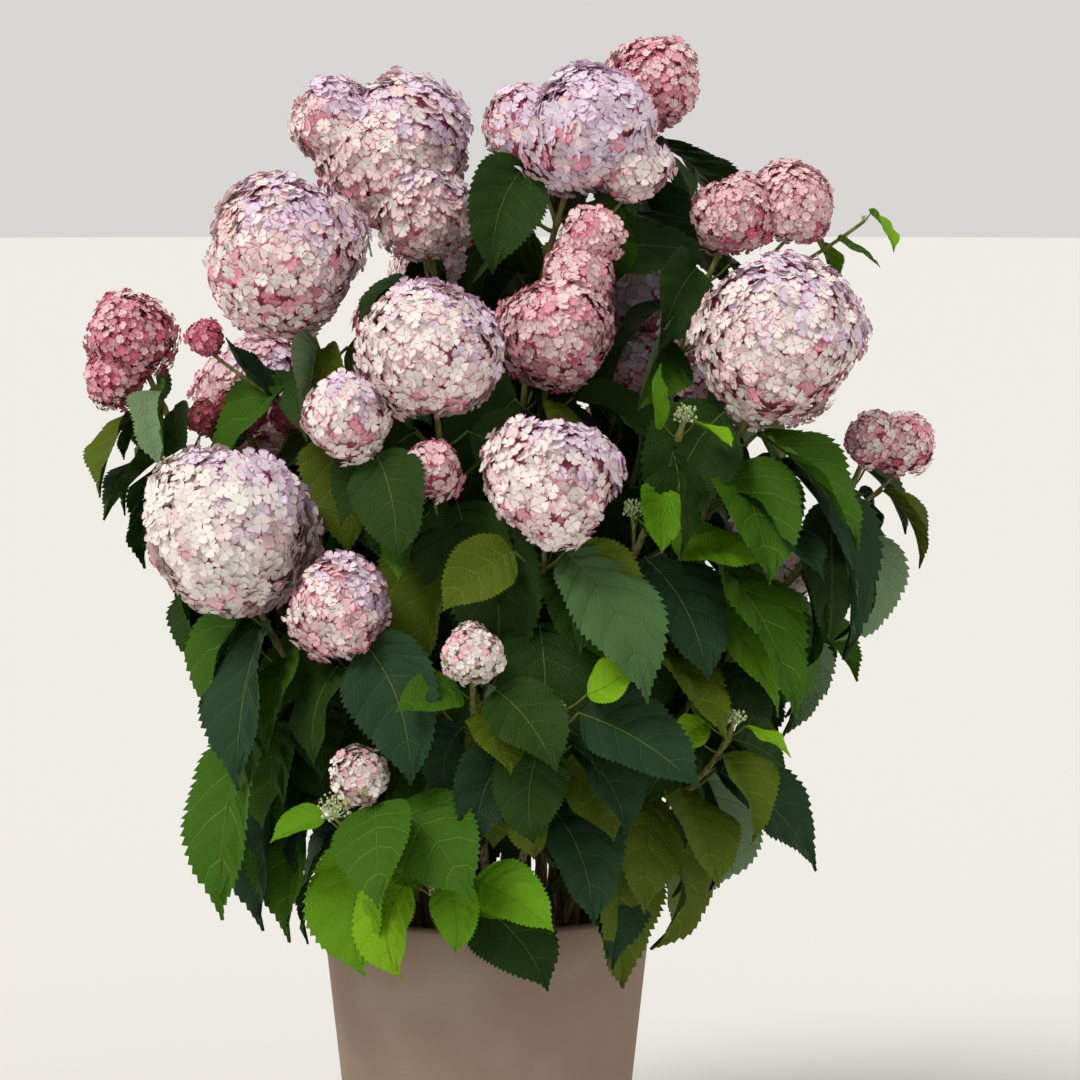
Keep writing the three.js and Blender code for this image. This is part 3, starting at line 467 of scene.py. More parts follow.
def run_of(points):
    """A limb from its points: the points, the length run at each, and the whole length."""
    run = np.concatenate([[0], np.cumsum(np.linalg.norm(np.diff(points, axis=0), axis=1))])
    return SimpleNamespace(points=points, run=run, length=run[-1])


def place_on(limb, share):
    """The point at a share of a limb's length, on straight lines between its points."""
    run = np.asarray(share) * limb.length
    return np.stack([np.interp(run, limb.run, limb.points[:, axis]) for axis in range(3)], -1)


def side_twig(stem, low, centre, radius):
    """A smaller head's twig: it leaves the stem well below the head and curves up into it."""
    end = stem.points[-1]
    apart = math.hypot(centre[0] - end[0], centre[1] - end[1])
    wanted = centre[2] - radius - TWIG_DROP - TWIG_SLOPE * apart
    trials = lerp((low, 1), np.arange(TWIG_STEPS + 1) / TWIG_STEPS)
    fits = trials[place_on(stem, trials)[:, 2] <= wanted]
    share = fits[-1] if len(fits) else lerp((low, 1), TWIG_LATEST)
    start = place_on(stem, max(share, low + TWIG_FIRST / stem.length))
    seat = centre - UP * TWIG_SEAT * radius
    middle = start + (seat - start) * TWIG_MIDDLE + outward(seat) * TWIG_BOW - UP * TWIG_SAG
    return run_of(bezier(np.linspace(0, 1, TWIG_PLACES), start, middle, seat))


def leaf_frame(leaf):
    """The level way out, the way across and the foot of each blade at the end of its rising petiole."""
    azimuth = np.asarray(leaf.azimuth)
    out = np.stack([np.cos(azimuth), np.sin(azimuth), 0 * azimuth], -1)
    across = np.stack([-np.sin(azimuth), np.cos(azimuth), 0 * azimuth], -1)
    petiole = np.asarray(leaf.petiole)[..., None]
    return out, across, leaf.joint + petiole * (PETIOLE_OUT * out + PETIOLE_UP * UP)


def blade_profile(along):
    """A blade's half width along it, as a share of its greatest: the sine of a power, widest low down."""
    return np.sin(math.pi * np.clip(along, 0, 1) ** WIDEST_LOW).clip(0) ** BLUNTNESS


def blade_places(leaf, along, side, half, twist=0.0, fold=(1.0, BLADE_FOLD)):
    """Points of blades: the midrib bends down on an arc, and the blade folds up along it and rolls.

    along is a share along the blade, side is -1, 0 or 1, and half its half width as a share of its length.
    fold is how far a half blade runs across and how far it rises for its width. Gives the points, the way
    across and the way the face looks, for each leaf and each place.
    """
    out, across, base = (part[..., None, :] for part in leaf_frame(leaf))
    droop, length, roll = (np.asarray(value)[..., None] for value in (leaf.droop, leaf.length, leaf.roll))
    start = -DROOP_START * droop
    bend = (DROOP_START - DROOP_END) * droop
    bend = np.where(np.abs(bend) < LEAST_BEND, LEAST_BEND, bend)
    angle = start + bend * along
    flat = length * (np.sin(angle) - np.sin(start)) / bend
    rise = length * (np.cos(start) - np.cos(angle)) / bend
    roll = roll + twist * (along - TWIST_CENTRE)
    cos_roll, sin_roll = np.cos(roll)[..., None], np.sin(roll)[..., None]
    normal = UP * np.cos(angle)[..., None] - out * np.sin(angle)[..., None]
    edge = across * cos_roll + normal * sin_roll
    face = normal * cos_roll - across * sin_roll
    wide = (length * half)[..., None]
    point = base + out * flat[..., None] + UP * rise[..., None]
    level, upright = fold
    over = edge * (side * level)[..., None] + face * (np.abs(side) * upright)[..., None]
    return point + wide * over, edge, face


SAMPLE_ALONG = np.array([1.0] + [along for along in (0.1, 0.35, 0.6, 0.85) for _ in range(3)])
SAMPLE_SIDE = np.array([0.0] + [-0.75, 0.0, 0.75] * 4)
SAMPLE_HALF = 0.5 * BLADE_WIDTH * blade_profile(SAMPLE_ALONG)


def roll_to_light(leaf):
    """The roll that turns the middle of a blade's face to the light outside and above the crown."""
    out, across, _ = leaf_frame(leaf)
    angle = np.asarray(-MEAN_DROOP * leaf.droop)[..., None]
    normal = UP * np.cos(angle) - out * np.sin(angle)
    light = unit(outward(leaf.joint) + UP * LIGHT_HEIGHT)
    facing = np.maximum(SHADE_FACING, (normal * light).sum(-1))
    return LIGHT_ROLL * np.arctan2(-(across * light).sum(-1), facing)


def within(starts, joint, reach):
    """Whether each start of a segment or sample lies within a reach of a joint."""
    return ((starts - joint) ** 2).sum(-1) < reach**2


def clear_of(points, starts, ends, room):
    """Whether each point is further than room from every segment."""
    if not len(starts):
        return np.ones(len(points), bool)
    near = nearest_on_segments(points, starts, ends)
    return (((points[:, None] - near) ** 2).sum(2) > room**2).all(1)


def has_room(places, shoot, grown, room, leaf, reach):
    """Which leaves keep clear of the heads, other leaves, stems, twigs and pot, and inside the outline.

    Only what lies within the leaf's reach of its joint is tested, and each test only what passed the last.
    """
    heads, joint = grown.heads, leaf.joint

    def inside(points):
        radius = np.hypot(points[:, 0], points[:, 1])
        height = points[:, 2]
        off_pot = (height >= POT_HEIGHT + LEAF_OFF_POT) | (radius >= pot_radius(height) + LEAF_OFF_POT)
        return off_pot & (radius <= np.interp(height, leaf.outline[:, 0], leaf.outline[:, 1]))

    def off_heads(points):
        distance = np.linalg.norm(points[:, None] - heads.centre, axis=2) - heads.radius
        return (distance > np.where(heads.shoot == shoot, LEAF_OFF_OWN_HEAD, LEAF_OFF_HEAD)).all(1)

    def off_leaves(points):
        near = np.flatnonzero(within(grown.samples[: grown.count], joint, reach + room[0]))
        spacing = np.where(grown.owners[near] == shoot, room[1], room[0])
        return (((points[:, None] - grown.samples[near]) ** 2).sum(2) > spacing**2).all(1)

    def off_stems(points):
        others = grown.routes[np.arange(len(grown.routes)) != shoot]
        starts, ends = others[:, :-1].reshape(-1, 3), others[:, 1:].reshape(-1, 3)
        near = within(starts, joint, reach + SEGMENT_REACH)
        return clear_of(points, starts[near], ends[near], LEAF_OFF_STEM)

    def off_twigs(points):
        twigs = [limb.points[::TWIG_STRIDE] for owner, limb in grown.twigs if owner != shoot]
        starts = np.concatenate([twig[:-1] for twig in twigs])
        ends = np.concatenate([twig[1:] for twig in twigs])
        near = within(starts, joint, reach + SEGMENT_REACH)
        return clear_of(points, starts[near], ends[near], LEAF_OFF_TWIG)

    good = np.ones(len(places), bool)
    for test in (inside, off_heads, off_leaves, off_stems, off_twigs):
        points = places[good].reshape(-1, 3)
        good[good] = test(points).reshape(-1, places.shape[1]).all(1)
        if not good.any():
            break
    return good


def settle_leaf(leaf, shoot, grown, room=LEAF_ROOM):
    """A leaf turns aside until it finds room, and is left out where it finds none."""
    swing, drop = (part.ravel() for part in np.meshgrid(np.radians(SWING_TRIES), DROOP_TRIES, indexing="ij"))
    for tries in (slice(0, 1), slice(1, None)):
        count = len(swing[tries])
        trial = SimpleNamespace(
            joint=np.broadcast_to(leaf.joint, (count, 3)), azimuth=leaf.azimuth + swing[tries],
            length=np.full(count, leaf.length), petiole=np.full(count, leaf.petiole),
            droop=leaf.droop + drop[tries],
        )
        trial.roll = roll_to_light(trial) + leaf.play
        places, _, _ = blade_places(trial, SAMPLE_ALONG, SAMPLE_SIDE, SAMPLE_HALF)
        reach = leaf.length + leaf.petiole
        fits = np.flatnonzero(has_room(places, shoot, grown, room, leaf, reach))
        if len(fits):
            best = fits[0]
            end = grown.count + len(SAMPLE_ALONG)
            grown.samples[grown.count:end] = places[best]
            grown.owners[grown.count:end] = shoot
            grown.count = end
            grown.leaves.append(SimpleNamespace(
                joint=leaf.joint, azimuth=trial.azimuth[best], length=leaf.length, petiole=leaf.petiole,
                droop=trial.droop[best], roll=trial.roll[best], shoot=shoot, tint=leaf.tint, seed=leaf.seed,
            ))
            return


def leaf_pair(grown, joint, turn, length, droop, shoot, seed, tint, room=LEAF_ROOM):
    """A pair of leaves on either side of a joint, both swung towards the light outside the crown."""
    outside = outward(joint)
    lean = LIGHT_LEAN * min(1, math.hypot(joint[0], joint[1]) / LIGHT_REACH)
    fine = room == FINE_ROOM
    for side in (0, 1):
        angle = turn + side * math.pi
        way = np.array([math.cos(angle), math.sin(angle), 0]) + outside * lean
        settle_leaf(SimpleNamespace(
            joint=joint,
            azimuth=math.atan2(way[1], way[0]) + AZIMUTH_PLAY * (chance(seed, side) - 0.5),
            length=length * lerp(LENGTH_PLAY, chance(seed, 4 + side)),
            petiole=PETIOLE * math.sqrt(length / BLADE_LENGTH) * lerp(PETIOLE_PLAY, chance(seed, 6 + side)),
            droop=droop * lerp(DROOP_PLAY, chance(seed, 8 + side)),
            play=(FINE_ROLL_PLAY if fine else ROLL_PLAY) * (chance(seed, 10 + side) - 0.5),
            tint=tint, seed=seed + side / 2,
            outline=FINE_OUTLINE if fine and chance(seed, 12 + side) > HANGING_SHARE else OUTLINE,
        ), shoot, grown, room)


def joint_at(shoot, height, tip):
    """The point of a shoot's stem and twigs at a height, on the limb that passes nearest a leaf's tip."""
    crossings = []
    for rank, limb in enumerate([shoot.stem, *shoot.twigs]):
        points = place_on(limb, np.linspace(0, 1, JOINT_PLACES))
        above = np.flatnonzero(points[:, 2] >= height)
        if len(above) and above[0] > 0:
            crossings.append(points[above[0]])
        elif rank == 0:
            crossings.append(points[-1])
    return min(crossings, key=lambda point: np.linalg.norm(point - tip))


def shown_leaf(joint, tip, tint, seed):
    """A leaf from a joint to a given tip. Its blade is the chord of the arc that it bends on."""
    apart = tip - joint
    far = np.linalg.norm(apart)
    share = YOUNG_SHARE if tint in YOUNG_GREENS else BLADE_SHARE
    petiole = max(SHORTEST_PETIOLE, far - min(LONGEST_BLADE, share * far))
    leaf = SimpleNamespace(joint=joint, azimuth=math.atan2(apart[1], apart[0]), petiole=petiole)
    out, _, base = leaf_frame(leaf)
    blade = tip - base
    fall = -math.atan2(blade[2], blade @ out)
    wanted = fall / MEAN_DROOP
    leaf.droop = wanted if abs(wanted) >= LEAST_DROOP else LEAST_DROOP
    half_bend = 0.5 * (DROOP_END - DROOP_START) * leaf.droop
    leaf.length = np.linalg.norm(blade) * half_bend / math.sin(half_bend)
    leaf.play = ROLL_PLAY * (chance(seed, 0) - 0.5)
    leaf.tint = tint
    leaf.seed = SHOWN_SEED + seed
    leaf.outline = OUTLINE
    return leaf


# Shares of the greens among the rule's leaves: on the outside, and in the shade inside.
YOUNG_GREENS = ("bright", "lime")
OUTER_GREENS = ("dark", "mid", "blue", "dark", "olive", "mid")
INNER_GREENS = ("dark", "mid", "dark", "blue", "dark", "olive")
SHADE_RADIUS = 0.55


def spray_green(joint, seed):
    """One green for a whole spray: darker inside the crown, lighter outside."""
    edge = np.interp(joint[2], OUTLINE[:, 0], OUTLINE[:, 1])
    greens = OUTER_GREENS if math.hypot(joint[0], joint[1]) > SHADE_RADIUS * edge else INNER_GREENS
    return greens[int(len(greens) * chance(seed, 33))]


def grow_pairs(grown, shoot):
    """A shoot's leaf pairs, from the top joint down, and a young pair below each bud on a twig."""
    for k in range(shoot.pairs):
        joint = place_on(shoot.stem, (shoot.top - k * shoot.spacing) / shoot.stem.length)
        young = shoot.young and k == 0
        size = YOUNG_BLADE_LENGTH if young else BLADE_LENGTH * (TOP_BLADE if k == 0 else 1)
        droop = YOUNG_DROOP if young else TOP_DROOP + DROOP_STEP * min(k, 2)
        angle = math.radians(shoot.turn) + k * math.pi / 2
        seed = SEEDS * shoot.index + k
        tint = "lime" if young else spray_green(joint, seed)
        leaf_pair(grown, joint, angle, size, droop, shoot.index, seed, tint)
    for k, (twig, bud) in enumerate(zip(shoot.twigs, shoot.twig_buds)):
        if bud:
            seed = SEEDS * shoot.index + SEEDS // 2 + k
            angle = math.radians(shoot.turn + BUD_TURN)
            joint = place_on(twig, BUD_JOINT)
            leaf_pair(grown, joint, angle, YOUNG_BLADE_LENGTH, YOUNG_DROOP, shoot.index, seed, "bright")


# The finer leaves, in rounds: the first joint and the step between joints as shares of the joint spacing, the
# turn in degrees, the shortest and longest blade, and the droop.
FINE_ROUNDS = (
    (0.5, 1.0, 45, (120, 146), 1.2),
    (0.0, 1.0, 90, (96, 128), 1.2),
    (0.25, 1.0, 20, (64, 100), 0.9),
)
LOWEST_LEAF = 390
FINE_SEED = 2000
FINE_ROUND_SEEDS = 400
FINE_SHOOT_SEEDS = 12
MOST_FINE_PAIRS = 40


def grow_finer(grown, shoot, turn_round, rule):
    """Leaves of the axils and of the cane below, which fill the room that the larger ones leave."""
    first, step, turn, blade, droop = rule
    start = shoot.top - first * shoot.spacing
    for k in range(MOST_FINE_PAIRS):
        run = start - k * step * shoot.spacing
        if run <= 0:
            return
        joint = place_on(shoot.stem, run / shoot.stem.length)
        if joint[2] < LOWEST_LEAF:
            return
        seed = FINE_SEED + FINE_ROUND_SEEDS * turn_round + FINE_SHOOT_SEEDS * shoot.index + k
        size = lerp(blade, chance(seed, 21))
        angle = math.radians(shoot.turn + turn) + k * math.pi / 2
        tint = spray_green(joint, seed)
        leaf_pair(grown, joint, angle, size, droop, shoot.index, seed, tint, FINE_ROOM)


@lru_cache(maxsize=1)
def plant():
    """The whole plant: heads, stems, twigs and leaves, in the order in which the frame grows them."""
    heads = make_heads()
    mains = heads.rank == 0
    feet = plant_feet(heads.centre[mains])
    places = zip(feet, heads.centre[mains], heads.radius[mains])
    routes = np.array([first_route(*place) for place in places])
    routes = settle_routes(routes, heads)
    grown = SimpleNamespace(
        heads=heads, routes=routes, twigs=[], leaves=[], count=0,
        samples=np.zeros((MOST_SAMPLES, 3)), owners=np.zeros(MOST_SAMPLES, int), shoots=[],
    )
    for index, (name, (side, turn, pairs, _)) in enumerate(SHOOTS.items()):
        stem = limb_through(routes[index])
        own = np.flatnonzero(heads.shoot == index)
        young = heads.radius[own[0]] < BUD / 2
        joint = YOUNG_JOINT if young else FIRST_JOINT
        top = stem.length - HEAD_COVER * heads.radius[own[0]] - joint
        room = top - LAST_JOINT - CANE_LEAST
        spacing = min(JOINT_SPACING, room / max(1, pairs - JOINT_SLACK))
        low = (top - (pairs - 1) * spacing - LAST_JOINT) / stem.length
        twigs = [side_twig(stem, low, heads.centre[head], heads.radius[head]) for head in own[1:]]
        grown.twigs += [(index, twig) for twig in twigs]
        grown.shoots.append(SimpleNamespace(
            index=index, name=name, side=side, turn=turn, pairs=pairs, stem=stem, low=low, top=top,
            spacing=spacing, young=young, own=own, twigs=twigs,
            twig_buds=[heads.radius[head] <= BUD / 2 for head in own[1:]],
        ))
    by_name = {shoot.name: shoot for shoot in grown.shoots}
    for seed, (name, height, tip, tint) in enumerate(SHOWN_LEAVES):
        shoot, tip = by_name[name], np.array(tip, float)
        leaf = shown_leaf(joint_at(shoot, height, tip), tip, tint, seed)
        settle_leaf(leaf, shoot.index, grown, SHOWN_ROOM)
    for shoot in grown.shoots:
        grow_pairs(grown, shoot)
    for turn_round, rule in enumerate(FINE_ROUNDS):
        for shoot in grown.shoots:
            grow_finer(grown, shoot, turn_round, rule)
    bare = {SEEDS * by_name[name].index + joint + side / 2 for name, joint, side in BARE_JOINTS}
    grown.leaves = [leaf for leaf in grown.leaves if leaf.seed not in bare]
    return grown


# Meshes


def build(name, parts, materials):
    """A mesh object from parts of (points in millimetres, [(faces, finish)]), all joined in one mesh."""
    points, corners, sizes, finishes = [], [], [], []
    offset = 0
    for places, groups in parts:
        places = places.reshape(-1, 3)
        points.append(places * MM)
        for faces, finish in groups:
            corners.append((faces + offset).ravel())
            sizes.append(np.full(len(faces), faces.shape[1]))
            finishes.append(np.broadcast_to(finish, len(faces)))
        offset += len(places)
    points, corners, sizes = np.concatenate(points), np.concatenate(corners), np.concatenate(sizes)
    mesh = bpy.data.meshes.new(name)
    mesh.vertices.add(len(points))
    mesh.vertices.foreach_set("co", points.astype(np.float32).ravel())
    mesh.loops.add(len(corners))
    mesh.loops.foreach_set("vertex_index", corners.astype(np.int32))
    mesh.polygons.add(len(sizes))
    mesh.polygons.foreach_set("loop_start", (np.cumsum(sizes) - sizes).astype(np.int32))
    mesh.polygons.foreach_set("material_index", np.concatenate(finishes).astype(np.int32))
    mesh.polygons.foreach_set("use_smooth", np.ones(len(sizes), bool))
    for material in materials:
        mesh.materials.append(material)
    mesh.update(calc_edges=True)
    mesh.validate()
    piece = bpy.data.objects.new(name, mesh)
    bpy.context.scene.collection.objects.link(piece)
    return piece


def tile(faces, count, stride):
    """The faces of a shape repeated for count copies that lie stride points apart."""
    return (faces + (np.arange(count) * stride)[:, None, None]).reshape(-1, faces.shape[1])


def tube_faces(rings, sides):
    """Quads between the rings of a tube, and a lid on either end."""
    ring, side = (part.ravel() for part in np.meshgrid(np.arange(rings - 1), np.arange(sides), indexing="ij"))
    here, after = ring * sides + side, ring * sides + (side + 1) % sides
    walls = np.stack([here, after, after + sides, here + sides], -1)
    lids = np.stack([np.arange(sides)[::-1], (rings - 1) * sides + np.arange(sides)])
    return walls, lids


def fans(rings, turns):
    """The fans that close a body of rings, whose two poles follow its points: the lower and the upper one."""
    here = np.arange(turns)
    after, pole, last = (here + 1) % turns, 0 * here + rings * turns, (rings - 1) * turns
    return np.stack([pole, after, here], -1), np.stack([pole + 1, last + here, last + after], -1)


# Ribs along a tube, as (share of the ridge, how many round the tube, how they follow the drift), and the drift
# itself, as (size, step from ring to ring, step from tube to tube).
RIBS = ((1.0, 3, 1.0), (0.7, 5, -1.7))
DRIFT = ((1.2, 0.23, 1.0), (0.7, 0.61, 2.3))


def tubes(paths, radii, level, sides, ridge=0.0, seed=0):
    """Tubes along paths: each ring is a circle square to its path, turned about the level way given.

    paths is (tubes, rings, 3), radii (tubes, rings) and level (tubes, 3). ridge is how far ribs along the
    tube stand out, as a share of its radius: two sines round the tube that wander as they run along it.
    """
    count, rings, _ = paths.shape
    along = unit(np.gradient(paths, axis=1))
    first = unit(level[:, None] - (level[:, None] * along).sum(-1, keepdims=True) * along)
    second = np.cross(along, first)
    angle = TAU * np.arange(sides) / sides
    circle = np.cos(angle)[:, None] * first[:, :, None] + np.sin(angle)[:, None] * second[:, :, None]
    wide = radii[:, :, None] * np.ones(sides)
    if ridge:
        tube = np.arange(count)[:, None, None] + seed
        run = np.arange(rings)[:, None]
        drift = sum(size * np.sin(step * run + shift * tube) for size, step, shift in DRIFT)
        wide = wide * (1 + ridge * sum(size * np.sin(ribs * angle + lean * drift) for size, ribs, lean in RIBS))
    places = paths[:, :, None] + wide[..., None] * circle
    walls, lids = tube_faces(rings, sides)
    stride = rings * sides
    return places, [tile(walls, count, stride), tile(lids, count, stride)]


def level_of(paths):
    """The level way square to the lean of each path."""
    return np.cross(outward(paths[:, -1] - paths[:, 0]), UP)


def seat(piece, slot, side, kinds=("shoot",)):
    """The piece rides on the plant's one body and stands for its side's nodes of some kinds."""
    nodes = [f"{kind}_{name}" for kind in kinds for name, row in SHOOTS.items() if row[0] == side]
    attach(piece, "root")
    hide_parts(*nodes)


# Materials


def linear(hex_colour):
    """An sRGB hex colour as linear red, green, blue and alpha."""
    channels = np.array([(hex_colour >> shift) & 255 for shift in (16, 8, 0)]) / 255
    low, high = channels / 12.92, ((channels + 0.055) / 1.055) ** 2.4
    return (*np.where(channels <= 0.04045, low, high).tolist(), 1.0)


def add(tree, kind, links=None, inputs=None, **settings):
    """Adds a node with its settings, the values of its inputs, and the links into them."""
    node = tree.nodes.new(kind)
    for name, value in settings.items():
        setattr(node, name, value)
    for name, value in (inputs or {}).items():
        node.inputs[name].default_value = value
    for name, source in (links or {}).items():
        tree.links.new(source, node.inputs[name])
    return node


def blank(name, colour, ior, specular):
    """A fresh material: its node tree, its shader with the plain values set, and object coordinates."""
    material = bpy.data.materials.new(name)
    material.use_nodes = True
    tree = material.node_tree
    tree.nodes.clear()
    plain = {"Base Color": colour, "IOR": ior, "Specular IOR Level": specular}
    shader = add(tree, "ShaderNodeBsdfPrincipled", inputs=plain)
    add(tree, "ShaderNodeOutputMaterial", {"Surface": shader.outputs[0]})
    return material, tree, shader, add(tree, "ShaderNodeTexCoord").outputs["Object"]


def ramp(tree, pattern, shader, stops):
    """The shader's colour by a pattern, from stops as (value, colour)."""
    tones = add(tree, "ShaderNodeValToRGB", {"Fac": pattern})
    elements = tones.color_ramp.elements
    for _ in stops[2:]:
        elements.new(0.5)
    for element, (value, colour) in zip(elements, stops):
        element.position = value
        element.color = colour
    tree.links.new(tones.outputs["Color"], shader.inputs["Base Color"])


def finish_with(tree, shader, height, rough, roughness, strength, depth):
    """Roughness between two values by one pattern, and a bump of a depth in metres by another."""
    low, high = roughness
    spread = add(tree, "ShaderNodeMapRange", {"Value": rough}, {"To Min": low, "To Max": high})
    tree.links.new(spread.outputs["Result"], shader.inputs["Roughness"])
    bump = add(tree, "ShaderNodeBump", {"Height": height}, {"Strength": strength, "Distance": depth})
    tree.links.new(bump.outputs["Normal"], shader.inputs["Normal"])


def leaf_material(name, colour):
    """Hydrangea leaf: a dull waxy skin, puckered between a net of veins about 4 mm apart."""
    material, tree, shader, place = blank(name, colour, ior=1.42, specular=0.18)
    wax = add(tree, "ShaderNodeTexNoise", {"Vector": place}, {"Scale": 90.0, "Detail": 2.0})
    net = add(tree, "ShaderNodeTexVoronoi", {"Vector": place}, {"Scale": 230.0}, feature="DISTANCE_TO_EDGE")
    swell = add(tree, "ShaderNodeMapRange", {"Value": net.outputs["Distance"]}, {"From Max": 0.25})
    puckers, dullness = swell.outputs["Result"], wax.outputs[0]
    finish_with(tree, shader, puckers, dullness, roughness=(0.5, 0.72), strength=0.6, depth=0.0008)
    return material


def petal_material(name, colour):
    """Hydrangea sepal: thin, dry and softly matt, with a fine crinkle about 2 mm wide."""
    material, tree, shader, place = blank(name, colour, ior=1.4, specular=0.2)
    grain = add(tree, "ShaderNodeTexNoise", {"Vector": place}, {"Scale": 420.0, "Detail": 1.0}).outputs[0]
    finish_with(tree, shader, grain, grain, roughness=(0.55, 0.8), strength=0.3, depth=0.0006)
    return material


def grain_material(name, colour, dark, stretch, scale, strength, depth):
    """Bark, green stem, compost or darker inner clay: a grain of two tones, with bumps and gloss that follow
    it.
    """
    material, tree, shader, place = blank(name, colour, ior=1.45, specular=0.25)
    strips = add(tree, "ShaderNodeMapping", {"Vector": place}, {"Scale": (1.0, 1.0, stretch)}).outputs[0]
    grain = add(tree, "ShaderNodeTexNoise", {"Vector": strips}, {"Scale": scale, "Detail": 4.0}).outputs[0]
    ramp(tree, grain, shader, ((0.38, dark), (0.62, colour)))
    finish_with(tree, shader, grain, grain, (0.66, 0.92), strength, depth)
    return material


def clay_material(name, colours):
    """Unglazed clay, thrown on a wheel: warmer and paler in patches, with fine turning lines 6 mm apart."""
    material, tree, shader, place = blank(name, colours[0], ior=1.5, specular=0.25)
    clouds = add(tree, "ShaderNodeTexNoise", {"Vector": place}, {"Scale": 7.0, "Detail": 4.0}).outputs[0]
    ramp(tree, clouds, shader, tuple(zip((0.35, 0.5, 0.68), colours)))
    lines = add(tree, "ShaderNodeTexWave", {"Vector": place},
                {"Scale": 52.0, "Distortion": 2.5, "Detail": 2.0, "Detail Scale": 0.6},
                bands_direction="Z")
    pores = add(tree, "ShaderNodeTexNoise", {"Vector": place}, {"Scale": 900.0, "Detail": 2.0})
    blend = add(tree, "ShaderNodeMath", {0: lines.outputs["Fac"], 1: pores.outputs[0]}, operation="ADD")
    finish_with(tree, shader, blend.outputs[0], clouds, roughness=(0.72, 0.9), strength=0.12, depth=0.0005)
    return material


# Settings


def colour_setting(name, description, hex_colour):
    """A colour property with its default from an sRGB hex value."""
    return bpy.props.FloatVectorProperty(
        name=name, description=description, default=linear(hex_colour),
        size=4, min=0.0, max=1.0, subtype="COLOR",
    )


def size_setting(name, description, millimetres):
    """A length property with its default from millimetres."""
    return bpy.props.FloatProperty(
        name=name, description=description, default=millimetres * MM, min=0.0,
        subtype="DISTANCE", unit="LENGTH",
    )


def share_setting(name, description, default, least, most):
    """A property that is a share of another size."""
    return bpy.props.FloatProperty(
        name=name, description=description, default=default, min=least, max=most, subtype="FACTOR",
    )


class PotSettings(bpy.types.PropertyGroup):
    """Sizes and colours of the planter and its compost."""

    clay: colour_setting("Clay", "Colour of most of the clay", 0x8E7B6B)
    clay_warm: colour_setting("Warm clay", "Colour of the clay's warmer patches", 0x927D6D)
    clay_pale: colour_setting("Pale clay", "Colour of the clay's paler bloom", 0x9C8B7C)
    # The pot's inside takes a darker clay than its outside.
    inside: colour_setting("Inside", "Colour of the damp wall above the compost", 0x4A3D34)
    compost: colour_setting("Compost", "Colour of the compost's crumbs", 0x4A382B)
    crumb: size_setting("Crumb height", "How far the compost's crumbs stand up", 7)


class StemSettings(bpy.types.PropertyGroup):
    """Sizes and colours of the canes, shoots, twigs and petioles."""

    bark: colour_setting("Bark", "Colour of the canes' bark", 0xA3906B)
    furrow: colour_setting("Furrow", "Colour between the strips of bark", 0x5E4A34)
    shoot: colour_setting("Shoot", "Colour of the green shoots", 0x8C8A50)
    shoot_shade: colour_setting("Shoot shade", "Colour of the shoots' darker streaks", 0x64652F)
    petiole: colour_setting("Petiole", "Colour of the petioles and midribs", 0x5F7830)
    swelling: size_setting("Joint swelling", "How far a cane swells at its joints", 1.6)


class LeafSettings(bpy.types.PropertyGroup):
    """Shape and greens of the leaves."""

    tooth: share_setting("Tooth depth", "Depth of the rim's teeth as a share of the blade", 0.028, 0, 0.1)
    pucker: share_setting("Pucker", "Swell between the veins as a share of the blade", 0.034, 0, 0.06)
    dark: colour_setting("Dark", "Green of shaded leaves", 0x243E0E)
    blue: colour_setting("Blue", "Blue-green of leaves that mirror the sky", 0x223D23)
    mid: colour_setting("Middle", "Green of most outer leaves", 0x39600C)
    bright: colour_setting("Bright", "Green of young leaves", 0x609310)
    lime: colour_setting("Lime", "Green of the youngest leaves, lit through", 0x76A612)
    olive: colour_setting("Olive", "Green of leaves that age", 0x4F5F10)
    grey: colour_setting("Grey", "Green of a leaf that turns its pale side", 0x466639)
    underside: colour_setting("Underside", "Green of the undersides", 0x758F69)
    vein: colour_setting("Vein", "Green of the veins of lit leaves", 0x648620)
    shaded_vein: colour_setting("Shaded vein", "Green of the veins of darker leaves", 0x35542D)


class BlossomSettings(bpy.types.PropertyGroup):
    """Sizes and colours of the florets."""

    spacing: share_setting("Spacing", "Distance between florets as a share of a floret's width", 0.66, 0.3, 2)
    cup: share_setting("Cup", "How far the sepals cup as a share of a floret's width", 0.1, 0, 0.5)
    cream: colour_setting("Cream", "Face of the ripest sepals", 0xEEE6E2)
    lilac: colour_setting("Lilac", "Face of sepals under the open sky", 0xE4D6E6)
    mauve: colour_setting("Mauve", "Edges of sepals under the open sky", 0xCE8DBB)
    peach: colour_setting("Peach", "Faint peach of the sepals' edges", 0xECD5D3)
    blush: colour_setting("Blush", "Peach pink of the sepals' edges", 0xE8C1C6)
    pink: colour_setting("Pink", "Pink of younger sepals", 0xDF9AAC)
    # Rose is the sepals' own edge colour, and on the deeper florets it also stands in as painted shade in the
    # gaps.
    rose: colour_setting("Rose", "Rose of edges in the gaps", 0xCB5E7C)
    deep: colour_setting("Deep", "Deep rose of the youngest sepals", 0xB23F64)
    brown: colour_setting("Brown", "Red-brown of florets in the shade", 0x8E4A45)
    green: colour_setting("Green", "Green-white of the buds", 0xC3CF9A)
    heart: colour_setting("Heart", "Shade inside a head", 0xC4707F)


class StageSettings(bpy.types.PropertyGroup):
    """Colours of the pale floor and sky, and the strength of the light."""

    floor: colour_setting("Floor", "Colour of the floor", 0xE4E3E0)
    sky: colour_setting("Sky", "Colour of the light all round", 0xE9E8E5)
    sky_strength: bpy.props.FloatProperty(
        name="Sky strength", description="Strength of the light all round", default=0.84, min=0.0)
    sun_strength: bpy.props.FloatProperty(
        name="Sun strength", description="Strength of the soft sun", default=1.8, min=0.0)
    sun_width: bpy.props.FloatProperty(
        name="Sun width", description="How wide the soft sun is",
        default=math.radians(25), subtype="ANGLE")


# Planter and compost

